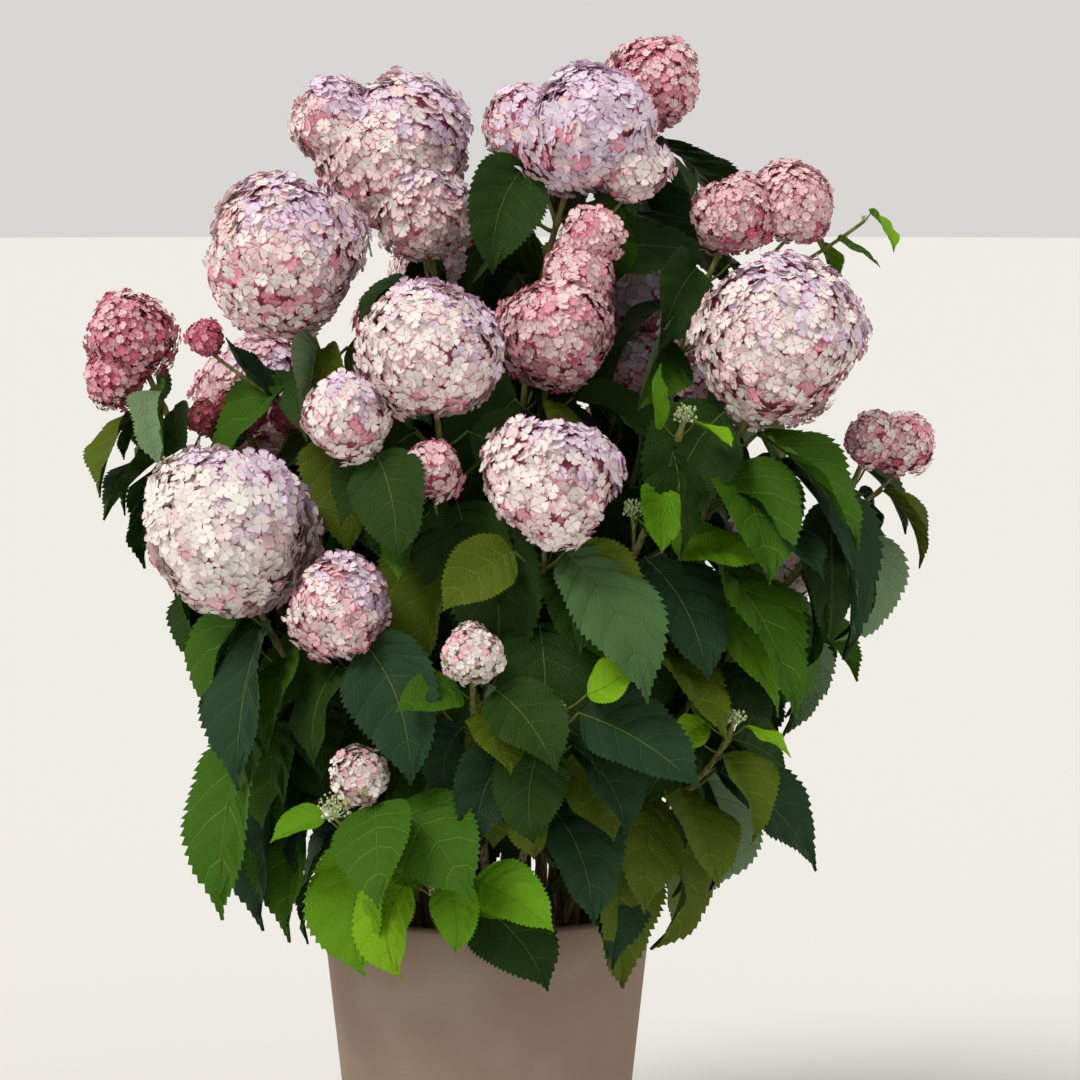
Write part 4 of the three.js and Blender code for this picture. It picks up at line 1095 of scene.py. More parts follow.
POT_TURNS = 160
LIP_STEPS = 14
WALL_STEPS = 40
FLOOR_CORNER = 3
FOOT_BEVEL = (1.5, 0.4)
# The darker grain tone of the pot's inner clay, as a share of its colour.
INTERIOR_DARK_SHARE = 0.6


def turned(profile, turns):
    """A closed body turned from a profile of (radius, height) that starts and ends on the axis."""
    rows = len(profile) - 2
    angle = TAU * np.arange(turns) / turns
    radius, height = profile[1:-1, 0, None], profile[1:-1, 1, None]
    ring = np.stack([radius * np.cos(angle), radius * np.sin(angle), height + 0 * angle], -1)
    places = np.concatenate([ring.reshape(-1, 3), [(0, 0, profile[0, 1])], [(0, 0, profile[-1, 1])]])
    walls, _ = tube_faces(rows, turns)
    return places, walls, *fans(rows, turns)


def pot_profile():
    """The pot's section: a flat foot, a straight taper, a half-round lip, and the inner wall to its floor."""
    lip = WALL / 2
    rise = np.linspace(FOOT_EDGE, POT_HEIGHT - lip, WALL_STEPS)
    outer = np.column_stack([pot_radius(rise), rise])
    angle = np.linspace(0, math.pi, LIP_STEPS)
    round_lip = np.column_stack([
        RIM_RADIUS - lip + lip * np.cos(angle), POT_HEIGHT - lip + lip * np.sin(angle)])
    fall = np.linspace(POT_HEIGHT - lip, FLOOR + FLOOR_CORNER, WALL_STEPS)[1:]
    inner = np.column_stack([pot_radius(fall) - WALL, fall])
    corner = [(pot_radius(FLOOR) - WALL - FLOOR_CORNER, FLOOR)]
    edge = FOOT_RADIUS - FOOT_EDGE
    foot = [(0, 0), (edge - FOOT_BEVEL[0], 0), (edge, FOOT_BEVEL[1])]
    return np.vstack([foot, outer[:-1], round_lip, inner, corner, [(0, FLOOR)]])


def shaded(colour, share):
    """A colour at a share of its light."""
    return (*(share * part for part in colour[:3]), 1)


class HYDRANGEA_OT_pot(bpy.types.Operator):
    """Turns the clay pot with its rounded lip"""

    bl_idname = "hydrangea.pot"
    bl_label = "Clay pot"

    def execute(self, context):
        settings = context.scene.hydrangea_pot
        places, walls, foot, top = turned(pot_profile(), POT_TURNS)
        ring = walls[:, 0] // POT_TURNS
        inside = np.where(ring >= WALL_STEPS + LIP_STEPS + 1, 1, 0)
        clay = clay_material("unglazed_thrown_clay", [settings.clay, settings.clay_warm, settings.clay_pale])
        # The pot's inner wall below the lip, and its floor, take a darker clay than the outside, in two tones
        # of grain.
        dark = shaded(settings.inside, INTERIOR_DARK_SHARE)
        interior = grain_material(
            "dark_inner_clay_wall", settings.inside, dark, stretch=1.0, scale=60.0, strength=0.3, depth=0.0008)
        piece = build("clay_pot", [(places, [(walls, inside), (foot, 0), (top, 1)])], [clay, interior])
        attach(piece, "root")
        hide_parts("pot")
        return {"FINISHED"}


SOIL_RINGS = 60
SOIL_TURNS = 140
CRUMB_BASE = 4
CRUMB_BAND = 10
CRUMB_HEIGHTS = (0.34, 0.2)
EARTH_SHADE = 0.35


def crumbs(x, y):
    """How far the crumbs rise or fall at a point: crossed sines whose phases wander, and finer ones."""
    wave = np.sin(0.31 * x + 1.7 * np.sin(0.23 * y)) * np.sin(0.27 * y + 1.3 * np.sin(0.19 * x))
    fine = np.sin(0.83 * x + 0.71 * y) * np.sin(0.93 * y - 0.57 * x)
    return CRUMB_HEIGHTS[0] * wave + CRUMB_HEIGHTS[1] * fine


class HYDRANGEA_OT_compost(bpy.types.Operator):
    """Fills the pot with crumbly compost"""

    bl_idname = "hydrangea.compost"
    bl_label = "Compost"

    def execute(self, context):
        settings = context.scene.hydrangea_pot
        edge = pot_radius(SOIL_TOP) - WALL - 2 * GAP
        low = pot_radius(FLOOR + GAP) - WALL - 2 * GAP
        radius = np.linspace(edge, 1, SOIL_RINGS)
        surface = SOIL_TOP - CRUMB_BASE
        profile = np.vstack([
            [(0, FLOOR + GAP), (low, FLOOR + GAP)], np.column_stack([radius, 0 * radius + surface]),
            [(0, surface)],
        ])
        places, walls, foot, top = turned(profile, SOIL_TURNS)
        lift = settings.crumb / MM * crumbs(places[:, 0], places[:, 1])
        places[:, 2] += np.where(places[:, 2] > SOIL_TOP - CRUMB_BAND, lift, 0)
        dark = shaded(settings.compost, EARTH_SHADE)
        earth = grain_material(
            "moist_bark_compost", settings.compost, dark, stretch=1.0, scale=160.0, strength=0.9, depth=0.004)
        piece = build("compost", [(places, [(walls, 0), (foot, 0), (top, 0)])], [earth])
        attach(piece, "root")
        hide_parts("soil")
        return {"FINISHED"}


# Stems

# Canes and shoots: their rings and sides, the height of their ribs as a share of the radius, and the radii.
CANE = (84, 12, 0.05, CANE_ENDS)
SHOOT = (44, 10, 0.03, SHOOT_ENDS)
TWIG_RINGS = 16
TWIG_SIDES = 8
JOINTS = np.arange(-1, 12)
SWELL_LENGTH = 5
SWELL_FROM = 0.02

# A petiole's places, radii as a share of the blade's length, and bow; then the midrib, at the lines of the
# blade, its radius as a share of the blade's length, its taper, and how deep it lies.
PETIOLE_SIDES = 4
PETIOLE_RISE = np.array([0.0, 0.3, 0.65, 1.0])
PETIOLE_RADIUS = 0.0125
PETIOLE_SWELL = np.array([1.5, 1.15, 1.05, 1.1])
PETIOLE_BOW = 0.08
LEAF_ROWS = 12
VEIN_LEAN = 1.9
MIDRIB = (np.array([2, 4, 6, 7, 8, 9, 10, 11]) / LEAF_ROWS) ** VEIN_LEAN
MIDRIB_RADIUS = 0.006
MIDRIB_TAPER = 0.7
MIDRIB_DEPTH = 0.45


def sides_of(grown, side):
    """The shoots of one side of the plant."""
    return [shoot for shoot in grown.shoots if shoot.side == side]


def leaf_set(leaves):
    """The numbers of many leaves as arrays."""
    names = ("joint", "azimuth", "length", "petiole", "droop", "roll", "seed", "tint")
    return SimpleNamespace(**{name: np.array([getattr(leaf, name) for leaf in leaves]) for name in names})


def swellings(run, joints, height):
    """The extra radius along a stem: a bell at each joint, a height times e to minus the square of the run."""
    return height * np.exp(-(((run[:, None] - joints) / SWELL_LENGTH) ** 2)).sum(1)


class HYDRANGEA_OT_stems(bpy.types.Operator):
    """Grows the canes, shoots, twigs and petioles, with the bark's ribs and the swollen joints"""

    bl_idname = "hydrangea.stems"
    bl_label = "Stems"

    def execute(self, context):
        settings = context.scene.hydrangea_stems
        grown = plant()
        swelling = settings.swelling / MM
        shade = settings.shoot_shade
        bark = grain_material(
            "peeling_cane_bark", settings.bark, settings.furrow,
            stretch=0.1, scale=330.0, strength=0.7, depth=0.0014)
        green = grain_material(
            "green_shoot_skin", settings.shoot, shade, stretch=0.12, scale=260.0, strength=0.3, depth=0.0006)
        leafstalk = grain_material(
            "petiole_skin", settings.petiole, shade, stretch=0.4, scale=200.0, strength=0.2, depth=0.0004)
        for side in SIDES:
            shoots = sides_of(grown, side)
            parts = []
            for finish, (rings, sides, ridge, ends) in enumerate((CANE, SHOOT)):
                paths, radii = [], []
                for shoot in shoots:
                    start, end = ((0, shoot.low), (shoot.low, 1))[finish]
                    share = np.linspace(start, end, rings)
                    joints = shoot.top - shoot.spacing * JOINTS
                    extra = swellings(share * shoot.stem.length, joints, swelling)
                    paths.append(place_on(shoot.stem, share))
                    radii.append(np.linspace(*ends, rings) + extra * (share > SWELL_FROM))
                paths, radii = np.array(paths), np.array(radii)
                places, (walls, lids) = tubes(paths, radii, level_of(paths), sides, ridge, shoots[0].index)
                parts.append((places, [(walls, finish), (lids, finish)]))
            twigs = [twig for shoot in shoots for twig in shoot.twigs]
            if twigs:
                share = np.linspace(0, 1, TWIG_RINGS)
                paths = np.array([place_on(twig, share) for twig in twigs])
                radii = np.tile(np.linspace(*TWIG_ENDS, TWIG_RINGS), (len(twigs), 1))
                places, (walls, lids) = tubes(paths, radii, level_of(paths), TWIG_SIDES)
                parts.append((places, [(walls, 1), (lids, 1)]))
            parts.append(self.petioles(grown, shoots))
            piece = build(f"stems_{side}", parts, [bark, green, leafstalk])
            seat(piece, "stem", side, ("shoot", "cane"))
        return {"FINISHED"}

    def petioles(self, grown, shoots):
        """Petioles that run on as midribs: they rise to the blade's foot, then follow its middle line."""
        names = {shoot.index for shoot in shoots}
        leaves = leaf_set([leaf for leaf in grown.leaves if leaf.shoot in names])
        _, across, base = leaf_frame(leaves)
        rise = leaves.joint[:, None] + (base - leaves.joint)[:, None] * PETIOLE_RISE[:, None]
        bow = np.sin(math.pi * PETIOLE_RISE) * PETIOLE_BOW * leaves.petiole[:, None]
        rise = rise - UP * bow[..., None]
        rib, _, face = blade_places(leaves, MIDRIB, 0 * MIDRIB, 0 * MIDRIB)
        width = MIDRIB_RADIUS * leaves.length[:, None] * (1 - MIDRIB_TAPER * MIDRIB)
        rib = rib - face * (MIDRIB_DEPTH * width)[..., None]
        paths = np.concatenate([rise, rib], 1)
        stalk = PETIOLE_RADIUS * leaves.length[:, None] * PETIOLE_SWELL
        places, (walls, lids) = tubes(paths, np.concatenate([stalk, width], 1), across, PETIOLE_SIDES)
        return places, [(walls, 2), (lids, 2)]


# Leaves

# A blade's veins, teeth, tip and waves. Lifts are shares of the pucker, and the rest of the blade's length.
VEIN_CURVE = 1.25
VEIN_ROOT = 0.003
VEIN_END = 0.0012
DRIP_TIP = 0.6
DRIP_FROM = 0.78
TOOTH_SPOTS = (0.36, 0.5, 0.86)
TOOTH_OUT = (1.0, 0.12, 1.0)
TOOTH_FORWARD = 0.35
VEIN_ROOT_LIFT = -0.2
VEIN_LIFT = -0.25
RIM_LIFT = 0.35
TOOTH_LIFT = 0.2
TWIST = 0.9
RIM_WAVE = 0.1
RIM_WAVES = 1.7
WAVE_SHIFT = 1.3
FOLD_PLAY = (0.05, 0.5)
CURLED_SHARE = 0.08
CURLED_FOLD = (0.9, 1.5)
LEAST_WAVE = 0.5


def smoothstep(low, high, value):
    """From 0 to 1 between low and high, level at both ends."""
    share = np.clip((value - low) / (high - low), 0, 1)
    return share * share * (3 - 2 * share)


@lru_cache(maxsize=1)
def blade_template():
    """One leaf as places (share along, side, lift, tooth) and faces by kind, the same for every leaf.

    Lines run from the midrib to the rim: veins, which are two lines close together, and the swells between
    them. A line leaves the midrib at m to a power and reaches the rim at m, so the veins lean forward.
    Between two lines that aren't one vein, the rim carries two teeth.
    """
    rows = [(k / LEAF_ROWS, k % 2, shift) for k in range(LEAF_ROWS + 1)
            for shift in ((-1, 1) if k % 2 == 0 and 0 < k < LEAF_ROWS else (0,))]
    reach, swell, shift = (np.array(part, float) for part in zip(*rows))
    lines = np.arange(len(rows))
    is_vein = (shift[:-1] == -1) & (shift[1:] == 1)
    gaps = np.flatnonzero(~is_vein)
    root = reach**VEIN_LEAN + VEIN_ROOT * shift
    end = reach + VEIN_END * shift
    along, side, lift, tooth = [root], [0 * root], [VEIN_ROOT_LIFT * (shift != 0)], [0 * root]
    blades, veins = [], []
    start = len(rows)
    for way in (1, -1):
        middle, rim = start + lines, start + len(lines) + lines
        along += [root + (end - root) * 0.5**VEIN_CURVE, end]
        side += [0.5 * way + 0 * root, way + 0 * root]
        lift += [np.where(swell == 1, 1.0, VEIN_LIFT), RIM_LIFT * swell]
        tooth += [0 * root, 0 * root]
        start += 2 * len(rows)
        spots = end[gaps, None] + np.array(TOOTH_SPOTS) * (end[gaps + 1] - end[gaps])[:, None]
        teeth = start + np.arange(spots.size).reshape(spots.shape)
        along.append(spots.ravel())
        side.append(np.full(spots.size, float(way)))
        lift.append(np.full(spots.size, TOOTH_LIFT))
        tooth.append(np.tile(TOOTH_OUT, len(gaps)))
        start += spots.size
        turn = slice(None, None, -way)
        inner = np.stack([lines[:-1], middle[:-1], middle[1:], lines[1:]], -1)[:, turn]
        outer = np.stack([middle[:-1], rim[:-1], rim[1:], middle[1:]], -1)[:, turn]
        toothed = np.column_stack([middle[gaps], rim[gaps], teeth, rim[gaps + 1], middle[gaps + 1]])[:, turn]
        blades.append((inner[~is_vein], toothed))
        veins.append(np.concatenate([inner[is_vein], outer[is_vein]]))
    places = tuple(np.concatenate(part) for part in (along, side, lift, tooth))
    return places, blades, np.concatenate(veins)


def blade_mesh(leaves, pucker, tooth_depth):
    """All the blades: the frame's own blade surface, with teeth, swells between veins, a twist and a wave.

    A few leaves have one half curled up, so that its pale underside shows. Gives the places, the faces of
    one leaf's halves and veins, and which half of each leaf is curled.
    """
    (along, side, lift, tooth), blades, veins = blade_template()
    seed, size = leaves.seed, leaves.length[:, None]
    profile = blade_profile(along)
    half = 0.5 * BLADE_WIDTH * profile * (1 - DRIP_TIP * smoothstep(DRIP_FROM, 1, along)) * np.abs(side)
    half = half * np.minimum(1, LONGEST_BLADE / size) + tooth_depth * tooth * np.sqrt(profile)
    forward = along + TOOTH_FORWARD * tooth_depth * tooth
    twist = (TWIST * (chance(seed, 61) - 0.5))[:, None]
    sign = np.sign(side)
    curled = (seed < SHOWN_SEED) & (chance(seed, 64) < CURLED_SHARE)
    curled_way = np.where(curled, np.where(chance(seed, 65) < 0.5, 1, -1), 0)
    flat = lerp(FOLD_PLAY, chance(seed, 66))[:, None] + 0 * along
    raised = lerp(CURLED_FOLD, chance(seed, 67))[:, None]
    angle = np.where(sign == curled_way[:, None], raised, flat)
    places, edge, face = blade_places(leaves, forward, sign, half, twist, (np.cos(angle), np.sin(angle)))
    phase = TAU * chance(seed, 62)[:, None]
    wave = RIM_WAVE * (LEAST_WAVE + chance(seed, 63)[:, None]) * np.abs(side) ** 2
    wave = wave * np.sin(TAU * RIM_WAVES * along + phase + WAVE_SHIFT * sign) * half * size
    return places + face * (pucker * size * lift + wave)[..., None], blades, veins, curled_way


GREENS = ("dark", "blue", "mid", "bright", "lime", "olive", "grey")
SHADED_GREENS = ("dark", "blue", "grey")


class HYDRANGEA_OT_leaves(bpy.types.Operator):
    """Grows the toothed leaves of every shoot in their greens"""

    bl_idname = "hydrangea.leaves"
    bl_label = "Leaves"

    def execute(self, context):
        settings = context.scene.hydrangea_leaves
        grown = plant()
        skins = [leaf_material(f"leaf_skin_{green}", getattr(settings, green)) for green in GREENS]
        skins += [leaf_material(f"leaf_{part}", getattr(settings, part))
                  for part in ("underside", "vein", "shaded_vein")]
        underside, vein, shaded_vein = range(len(GREENS), len(skins))
        for side in SIDES:
            names = {shoot.index for shoot in sides_of(grown, side)}
            leaves = leaf_set([leaf for leaf in grown.leaves if leaf.shoot in names])
            tint = np.array([GREENS.index(green) for green in leaves.tint])
            places, blades, veins, curled_way = blade_mesh(leaves, settings.pucker, settings.tooth)
            count, stride = places.shape[:2]
            groups = []
            for way, faces in zip((1, -1), blades):
                skin = np.where(curled_way == way, underside, tint)
                groups += [(tile(kind, count, stride), np.repeat(skin, len(kind))) for kind in faces]
            lines = np.where(np.isin(leaves.tint, SHADED_GREENS), shaded_vein, vein)
            groups.append((tile(veins, count, stride), np.repeat(lines, len(veins))))
            seat(build(f"leaves_{side}", [(places, groups)], skins), "foliage", side)
        return {"FINISHED"}


# Blossom

TONES = ("cream", "lilac", "mauve", "peach", "blush", "pink", "rose", "deep", "brown", "green", "heart")

# Each look: the width of its florets in millimetres, how open it is, and (face, rim) tones: the commonest,
# which lies more to the top, two rarer ones, which lean to the underside as painted shade, and that of the
# florets that lie deeper between the others: their own rose, darkened as painted shade in the gaps.
LOOKS = {
    "white": (20, 0.0, (("cream", "cream"), ("cream", "peach"), ("peach", "blush"), ("blush", "rose"))),
    "cream": (19, 0.0, (("cream", "blush"), ("cream", "pink"), ("peach", "pink"), ("pink", "rose"))),
    "pink": (19, 0.0, (("cream", "pink"), ("peach", "pink"), ("cream", "rose"), ("pink", "rose"))),
    "lilac": (20, 0.0, (("lilac", "lilac"), ("lilac", "blush"), ("peach", "pink"), ("pink", "rose"))),
    "open": (18, 0.2, (("lilac", "pink"), ("peach", "rose"), ("blush", "rose"), ("rose", "deep"))),
    "blush": (18, 0.0, (("cream", "pink"), ("blush", "rose"), ("peach", "pink"), ("pink", "rose"))),
    "rose": (16, 0.1, (("peach", "pink"), ("blush", "rose"), ("pink", "rose"), ("rose", "deep"))),
    "magenta": (14, 0.2, (("blush", "pink"), ("peach", "rose"), ("blush", "rose"), ("rose", "deep"))),
    "red": (12, 0.4, (("peach", "rose"), ("pink", "rose"), ("blush", "deep"), ("rose", "brown"))),
    "deep": (11, 0.5, (("pink", "rose"), ("blush", "deep"), ("rose", "deep"), ("brown", "brown"))),
    "small": (12, 0.2, (("cream", "pink"), ("blush", "rose"), ("pink", "rose"), ("rose", "deep"))),
    "dusky": (17, 0.1, (("blush", "pink"), ("peach", "pink"), ("pink", "rose"), ("rose", "deep"))),
    "faded": (13, 0.3, (("peach", "blush"), ("cream", "peach"), ("blush", "brown"), ("brown", "brown"))),
    "brown": (9, 0.4, (("rose", "brown"), ("brown", "brown"), ("rose", "brown"), ("brown", "brown"))),
    "tail": (11, 0.3, (("pink", "rose"), ("rose", "brown"), ("rose", "deep"), ("brown", "brown"))),
    "young": (11, 0.3, (("cream", "peach"), ("blush", "pink"), ("cream", "green"), ("green", "rose"))),
}
# The pale looks turn lilac with mauve edges on the side that the sky lights: the way to the sky, how squarely
# a floret faces it where this starts and where it is full, and the share of such florets there.
SKY_PAIR = ("lilac", "mauve")
SKY_LOOKS = ("white", "cream", "pink", "lilac", "open", "blush", "dusky")
SKY_WAY = np.array([0.48, -0.15, 0.86])
SKY_FACING = (0.0, 1.0)
SKY_SHARE = 0.7
GOLDEN_TURN = math.pi * (3 - math.sqrt(5))
SEPALS = 4
SEPAL_HALF = 0.26

# A sepal's points as (share out, share of its half width): round its edge, then the middle of its rim.
SEPAL_POINTS = np.array([
    (0.07, -0.14), (0.38, -0.7), (0.74, -1), (0.97, -0.46), (0.97, 0.46), (0.74, 1), (0.38, 0.7), (0.07, 0.14),
    (0.84, 0),
])
SEPAL_FACE = np.array([0, 1, 2, 8, 5, 6, 7])
SEPAL_RIM = np.array([2, 3, 4, 5, 8])
SEPAL_STEP = 0.03
SEPAL_TROUGH = 0.45
BEAD = 0.07
BEAD_CORNERS = 4
BEAD_RISE = 1.1
STEEP = 0.9

# How the florets lie: the reach and the share of each layer, then how they are spread, turned and toned. The
# values named OPEN are added times how open a head is.
LAYERS = ((0.965, 1.0), (0.84, 0.35))
HEAD_SEEDS = 1000
LAYER_SEEDS = 500
FLORET_SEED = 7
OPEN_SPACING = 0.35
WANDER = 0.55
RAGGED = 0.09
OPEN_RAGGED = 0.16
LEAST_REACH = 0.72
STALK_WAY = -0.97
COVER_REACH = 1.1
COVER_SHARE = 0.86
TILT = 0.7
WIDTH_PLAY = (0.82, 1.14)
CUP_PLAY = (-0.7, 1.8)
SHADE_PLAY = 0.14
SHADE_FROM = 0.3
TONE_STEPS = (0.48, 0.84, 1.02)
DEEP_SHADE_TONE = 3


def ball_ways(count):
    """Directions spread evenly over a ball: equal steps of height, each turned on by the golden angle."""
    rank = np.arange(count) + 0.5
    height = 1 - 2 * rank / count
    level = np.sqrt(1 - height**2)
    turn = GOLDEN_TURN * rank
    return np.stack([level * np.cos(turn), level * np.sin(turn), height], -1)


@lru_cache(maxsize=1)
def floret_template():
    """A floret one unit wide: four broad sepals, each one face and one rim, and a bead in the middle.

    A sepal rises with the square of its share out and towards its edges, so it cups. Gives the places, the
    sepal that each belongs to, the faces, the rims and the bead's cone.
    """
    reach, across = SEPAL_POINTS.T
    far, wide = 0.5 * reach, SEPAL_HALF * across
    sepal = np.arange(SEPALS)[:, None]
    turn = TAU * sepal / SEPALS
    places = np.stack([
        far * np.cos(turn) - wide * np.sin(turn), far * np.sin(turn) + wide * np.cos(turn),
        SEPAL_STEP * (sepal % 2) * reach, reach**2 + SEPAL_TROUGH * across**2 + 0 * turn], -1).reshape(-1, 4)
    corner = np.arange(BEAD_CORNERS)
    angle = TAU * corner / BEAD_CORNERS
    bead = np.column_stack([BEAD * np.cos(angle), BEAD * np.sin(angle), 0 * angle, 0 * angle])
    owner = np.repeat([*range(SEPALS), 0], [len(SEPAL_POINTS)] * SEPALS + [BEAD_CORNERS + 1])
    first = sepal * len(SEPAL_POINTS)
    cone = len(places) + np.stack([corner, (corner + 1) % BEAD_CORNERS, 0 * corner + BEAD_CORNERS], -1)
    places = np.vstack([places, bead, (0, 0, BEAD_RISE * BEAD, 0)])
    return places, owner, SEPAL_FACE + first, SEPAL_RIM + first, cone


def lay_florets(centres, ways, widths, turns, cup):
    """Florets at their centres, each turned about its own way, each sepal raised by its own cup."""
    template, owner, *_ = floret_template()
    helper = np.where(np.abs(ways[:, 2:]) > STEEP, (1.0, 0.0, 0.0), (0.0, 0.0, 1.0))
    first = unit(np.cross(helper, ways))
    second = np.cross(ways, first)
    cos_turn, sin_turn = np.cos(turns)[:, None], np.sin(turns)[:, None]
    x = template[:, 0] * cos_turn - template[:, 1] * sin_turn
    y = template[:, 0] * sin_turn + template[:, 1] * cos_turn
    height = template[:, 2] + cup[:, owner] * template[:, 3]
    local = x[..., None] * first[:, None] + y[..., None] * second[:, None] + height[..., None] * ways[:, None]
    return centres[:, None] + widths[:, None, None] * local


def head_florets(grown, head, settings):
    """One head's florets: an outer layer at even spacing, and a deeper one between.

    Gives their centres, the ways they face, their widths, turns and cups, and the face and rim tone of each.
    """
    heads = grown.heads
    width, openness, tones = LOOKS[heads.look[head]]
    radius = heads.radius[head]
    found = []
    for layer, (depth, share) in enumerate(LAYERS):
        spacing = settings.spacing * width * (1 + OPEN_SPACING * openness)
        count = int(share * 4 * math.pi * radius**2 / spacing**2)
        rank = np.arange(count)
        seed = HEAD_SEEDS * head + LAYER_SEEDS * layer + FLORET_SEED
        wander = np.stack([chance(seed + rank, 71 + axis) - 0.5 for axis in range(3)], -1)
        ways = unit(ball_ways(count) + WANDER * spacing / radius * wander)
        reach = head_reach(heads, head, ways)
        ragged = 1 - (RAGGED + OPEN_RAGGED * openness) * chance(seed + rank, 74)
        centres = heads.centre[head] + ways * (depth * ragged * reach)[:, None]
        keep = (reach > LEAST_REACH * radius) & (ways[:, 2] > STALK_WAY)
        for other in np.flatnonzero(np.arange(len(heads.radius)) != head):
            apart = centres - heads.centre[other]
            distance = np.linalg.norm(apart, axis=1)
            near = distance < COVER_REACH * heads.radius[other]
            if near.any():
                cover = np.zeros(count, bool)
                cover[near] = distance[near] < COVER_SHARE * head_reach(heads, other, unit(apart[near]))
                keep &= ~cover
        tilt = np.stack([chance(seed + rank, 75 + axis) - 0.5 for axis in range(3)], -1)
        facing = unit(ways + TILT * tilt)
        widths = width * lerp(WIDTH_PLAY, chance(seed + rank, 78))
        turns = TAU * chance(seed + rank, 79)
        cup = settings.cup * lerp(CUP_PLAY, chance(seed + rank[:, None], 180 + np.arange(SEPALS)))
        # Florets low on the head lean to the later, pinker tones: painted shade on its underside.
        pick = chance(seed + rank, 81) + SHADE_PLAY * (SHADE_FROM - ways[:, 2])
        tone = np.digitize(pick, TONE_STEPS)
        # The deeper layer takes the look's last, darker tone pair: painted shade in the gaps, over the florets'
        # own rose.
        tone = np.where(layer == 1, DEEP_SHADE_TONE, tone)
        if layer == 0 and heads.look[head] in SKY_LOOKS:
            sky = SKY_SHARE * smoothstep(*SKY_FACING, ways @ SKY_WAY)
            tone = np.where(chance(seed + rank, 84) < sky, len(tones), tone)
        found.append([part[keep] for part in (centres, facing, widths, turns, cup, tone)])
    centres, facing, widths, turns, cup, tone = (np.concatenate(part) for part in zip(*found))
    pairs = np.array([[TONES.index(name) for name in pair] for pair in (*tones, SKY_PAIR)])
    return centres, facing, widths, turns, cup, pairs[tone]


CORE_ROWS = 12
CORE_TURNS = 20
CORE_SHARE = 0.82
OPEN_CORE = 0.25


def head_core(grown, head, share):
    """The shade inside a head: a closed ball at a share of the head's own reach."""
    heads = grown.heads
    fall = math.pi * np.arange(1, CORE_ROWS) / CORE_ROWS
    turn = TAU * np.arange(CORE_TURNS) / CORE_TURNS
    ways = np.stack([
        np.sin(fall)[:, None] * np.cos(turn), np.sin(fall)[:, None] * np.sin(turn),
        -np.cos(fall)[:, None] + 0 * turn], -1).reshape(-1, 3)
    ways = np.concatenate([ways, [(0, 0, -1)], [(0, 0, 1)]])
    reach = head_reach(heads, head, ways)
    places = heads.centre[head] + ways * (share * reach)[:, None]
    walls, _ = tube_faces(CORE_ROWS - 1, CORE_TURNS)
    return places, walls, np.concatenate(fans(CORE_ROWS - 1, CORE_TURNS))


# A bud one unit wide, a ball of eight faces drawn out a little along its stalk. Then how many stand on a
# cluster for its radius, how they spread over it, and their widths in millimetres on a cluster of full size.
BUD_PLACES = np.array([(1, 0, 0), (0, 1, 0), (-1, 0, 0), (0, -1, 0), (0, 0, 1.15), (0, 0, -1.15)]) / 2
BUD_FACES = np.array([(k, (k + 1) % 4, 4) for k in range(4)] + [((k + 1) % 4, k, 5) for k in range(4)])
BUDS_PER_MM = 3.2
BUD_COUNTS = (14, 110)
BUD_SPREAD = ((1, 1, 0.75), (0, 0, 0.3))
BUD_REACH = (0.5, 1.0)
BUD_WIDTHS = (2.4, 4.6)
BUD_FULL = 9
BUD_INSET = 1
BUD_SEED = 3000
BUD_HEAD_SEEDS = 200


def bud_beads(grown, head):
    """A bud cluster's beads: spread over the upper side of the cluster at shares of its reach."""
    heads = grown.heads
    radius = heads.radius[head]
    count = int(np.clip(BUDS_PER_MM * radius, *BUD_COUNTS))
    rank = np.arange(count)
    seed = BUD_SEED + BUD_HEAD_SEEDS * head
    flatten, rise = BUD_SPREAD
    ways = unit(ball_ways(count) * flatten + rise)
    reach = radius * lerp(BUD_REACH, chance(seed + rank, 90)) - BUD_INSET
    centres = heads.centre[head] + ways * reach[:, None]
    widths = lerp(BUD_WIDTHS, chance(seed + rank, 91)) * min(1, radius / BUD_FULL)
    beads = centres[:, None] + widths[:, None, None] * BUD_PLACES
    return beads, tile(BUD_FACES, count, len(BUD_PLACES)), centres


RAY_SHARE = np.linspace(0, 1, 4)
RAY_START = 0.45
RAY_SAG = 0.12
RAY_ENDS = (1.3, 0.5)
RAY_SIDES = 4
RAY_FULL = 40
RAYS = 22
OPEN_RAYS = 2


def head_rays(grown, head, targets):
    """The branches of a flower head, as one part: from the stem's end they bow up and out to its florets."""
    heads = grown.heads
    radius = heads.radius[head]
    start = heads.centre[head] - UP * RAY_START * radius
    bow = targets - start
    share = RAY_SHARE[:, None]
    paths = start + share * bow[:, None] - UP * (RAY_SAG * np.sin(math.pi * share) * length_of(bow)[:, None])
    radii = np.tile(np.linspace(*RAY_ENDS, len(RAY_SHARE)), (len(targets), 1)) * min(1, radius / RAY_FULL)
    places, faces = tubes(paths, radii, unit(np.cross(bow, UP + 0.01)), RAY_SIDES)
    return places, [(kind, TONES.index("green")) for kind in faces]


def head_parts(grown, head, settings):
    """The parts of one flower head: its florets, its shaded core and its branches, or its buds and branches."""
    green, heart = TONES.index("green"), TONES.index("heart")
    look = grown.heads.look[head]
    if look == "bud":
        beads, faces, targets = bud_beads(grown, head)
        return [(beads, [(faces, green)]), head_rays(grown, head, targets[::2])]
    openness = LOOKS[look][1]
    centres, facing, widths, turns, cup, tones = head_florets(grown, head, settings)
    count = len(centres)
    template, _, faces, rims, cone = floret_template()
    stride = len(template)
    florets = (lay_florets(centres, facing, widths, turns, cup), [
        (tile(faces, count, stride), np.repeat(tones[:, 0], SEPALS)),
        (tile(rims, count, stride), np.repeat(tones[:, 1], SEPALS)),
        (tile(cone, count, stride), green),
    ])
    core, walls, caps = head_core(grown, head, CORE_SHARE - OPEN_CORE * openness)
    step = max(1, count // int(RAYS * (1 + OPEN_RAYS * openness)))
    return [florets, (core, [(walls, heart), (caps, heart)]), head_rays(grown, head, centres[::step])]


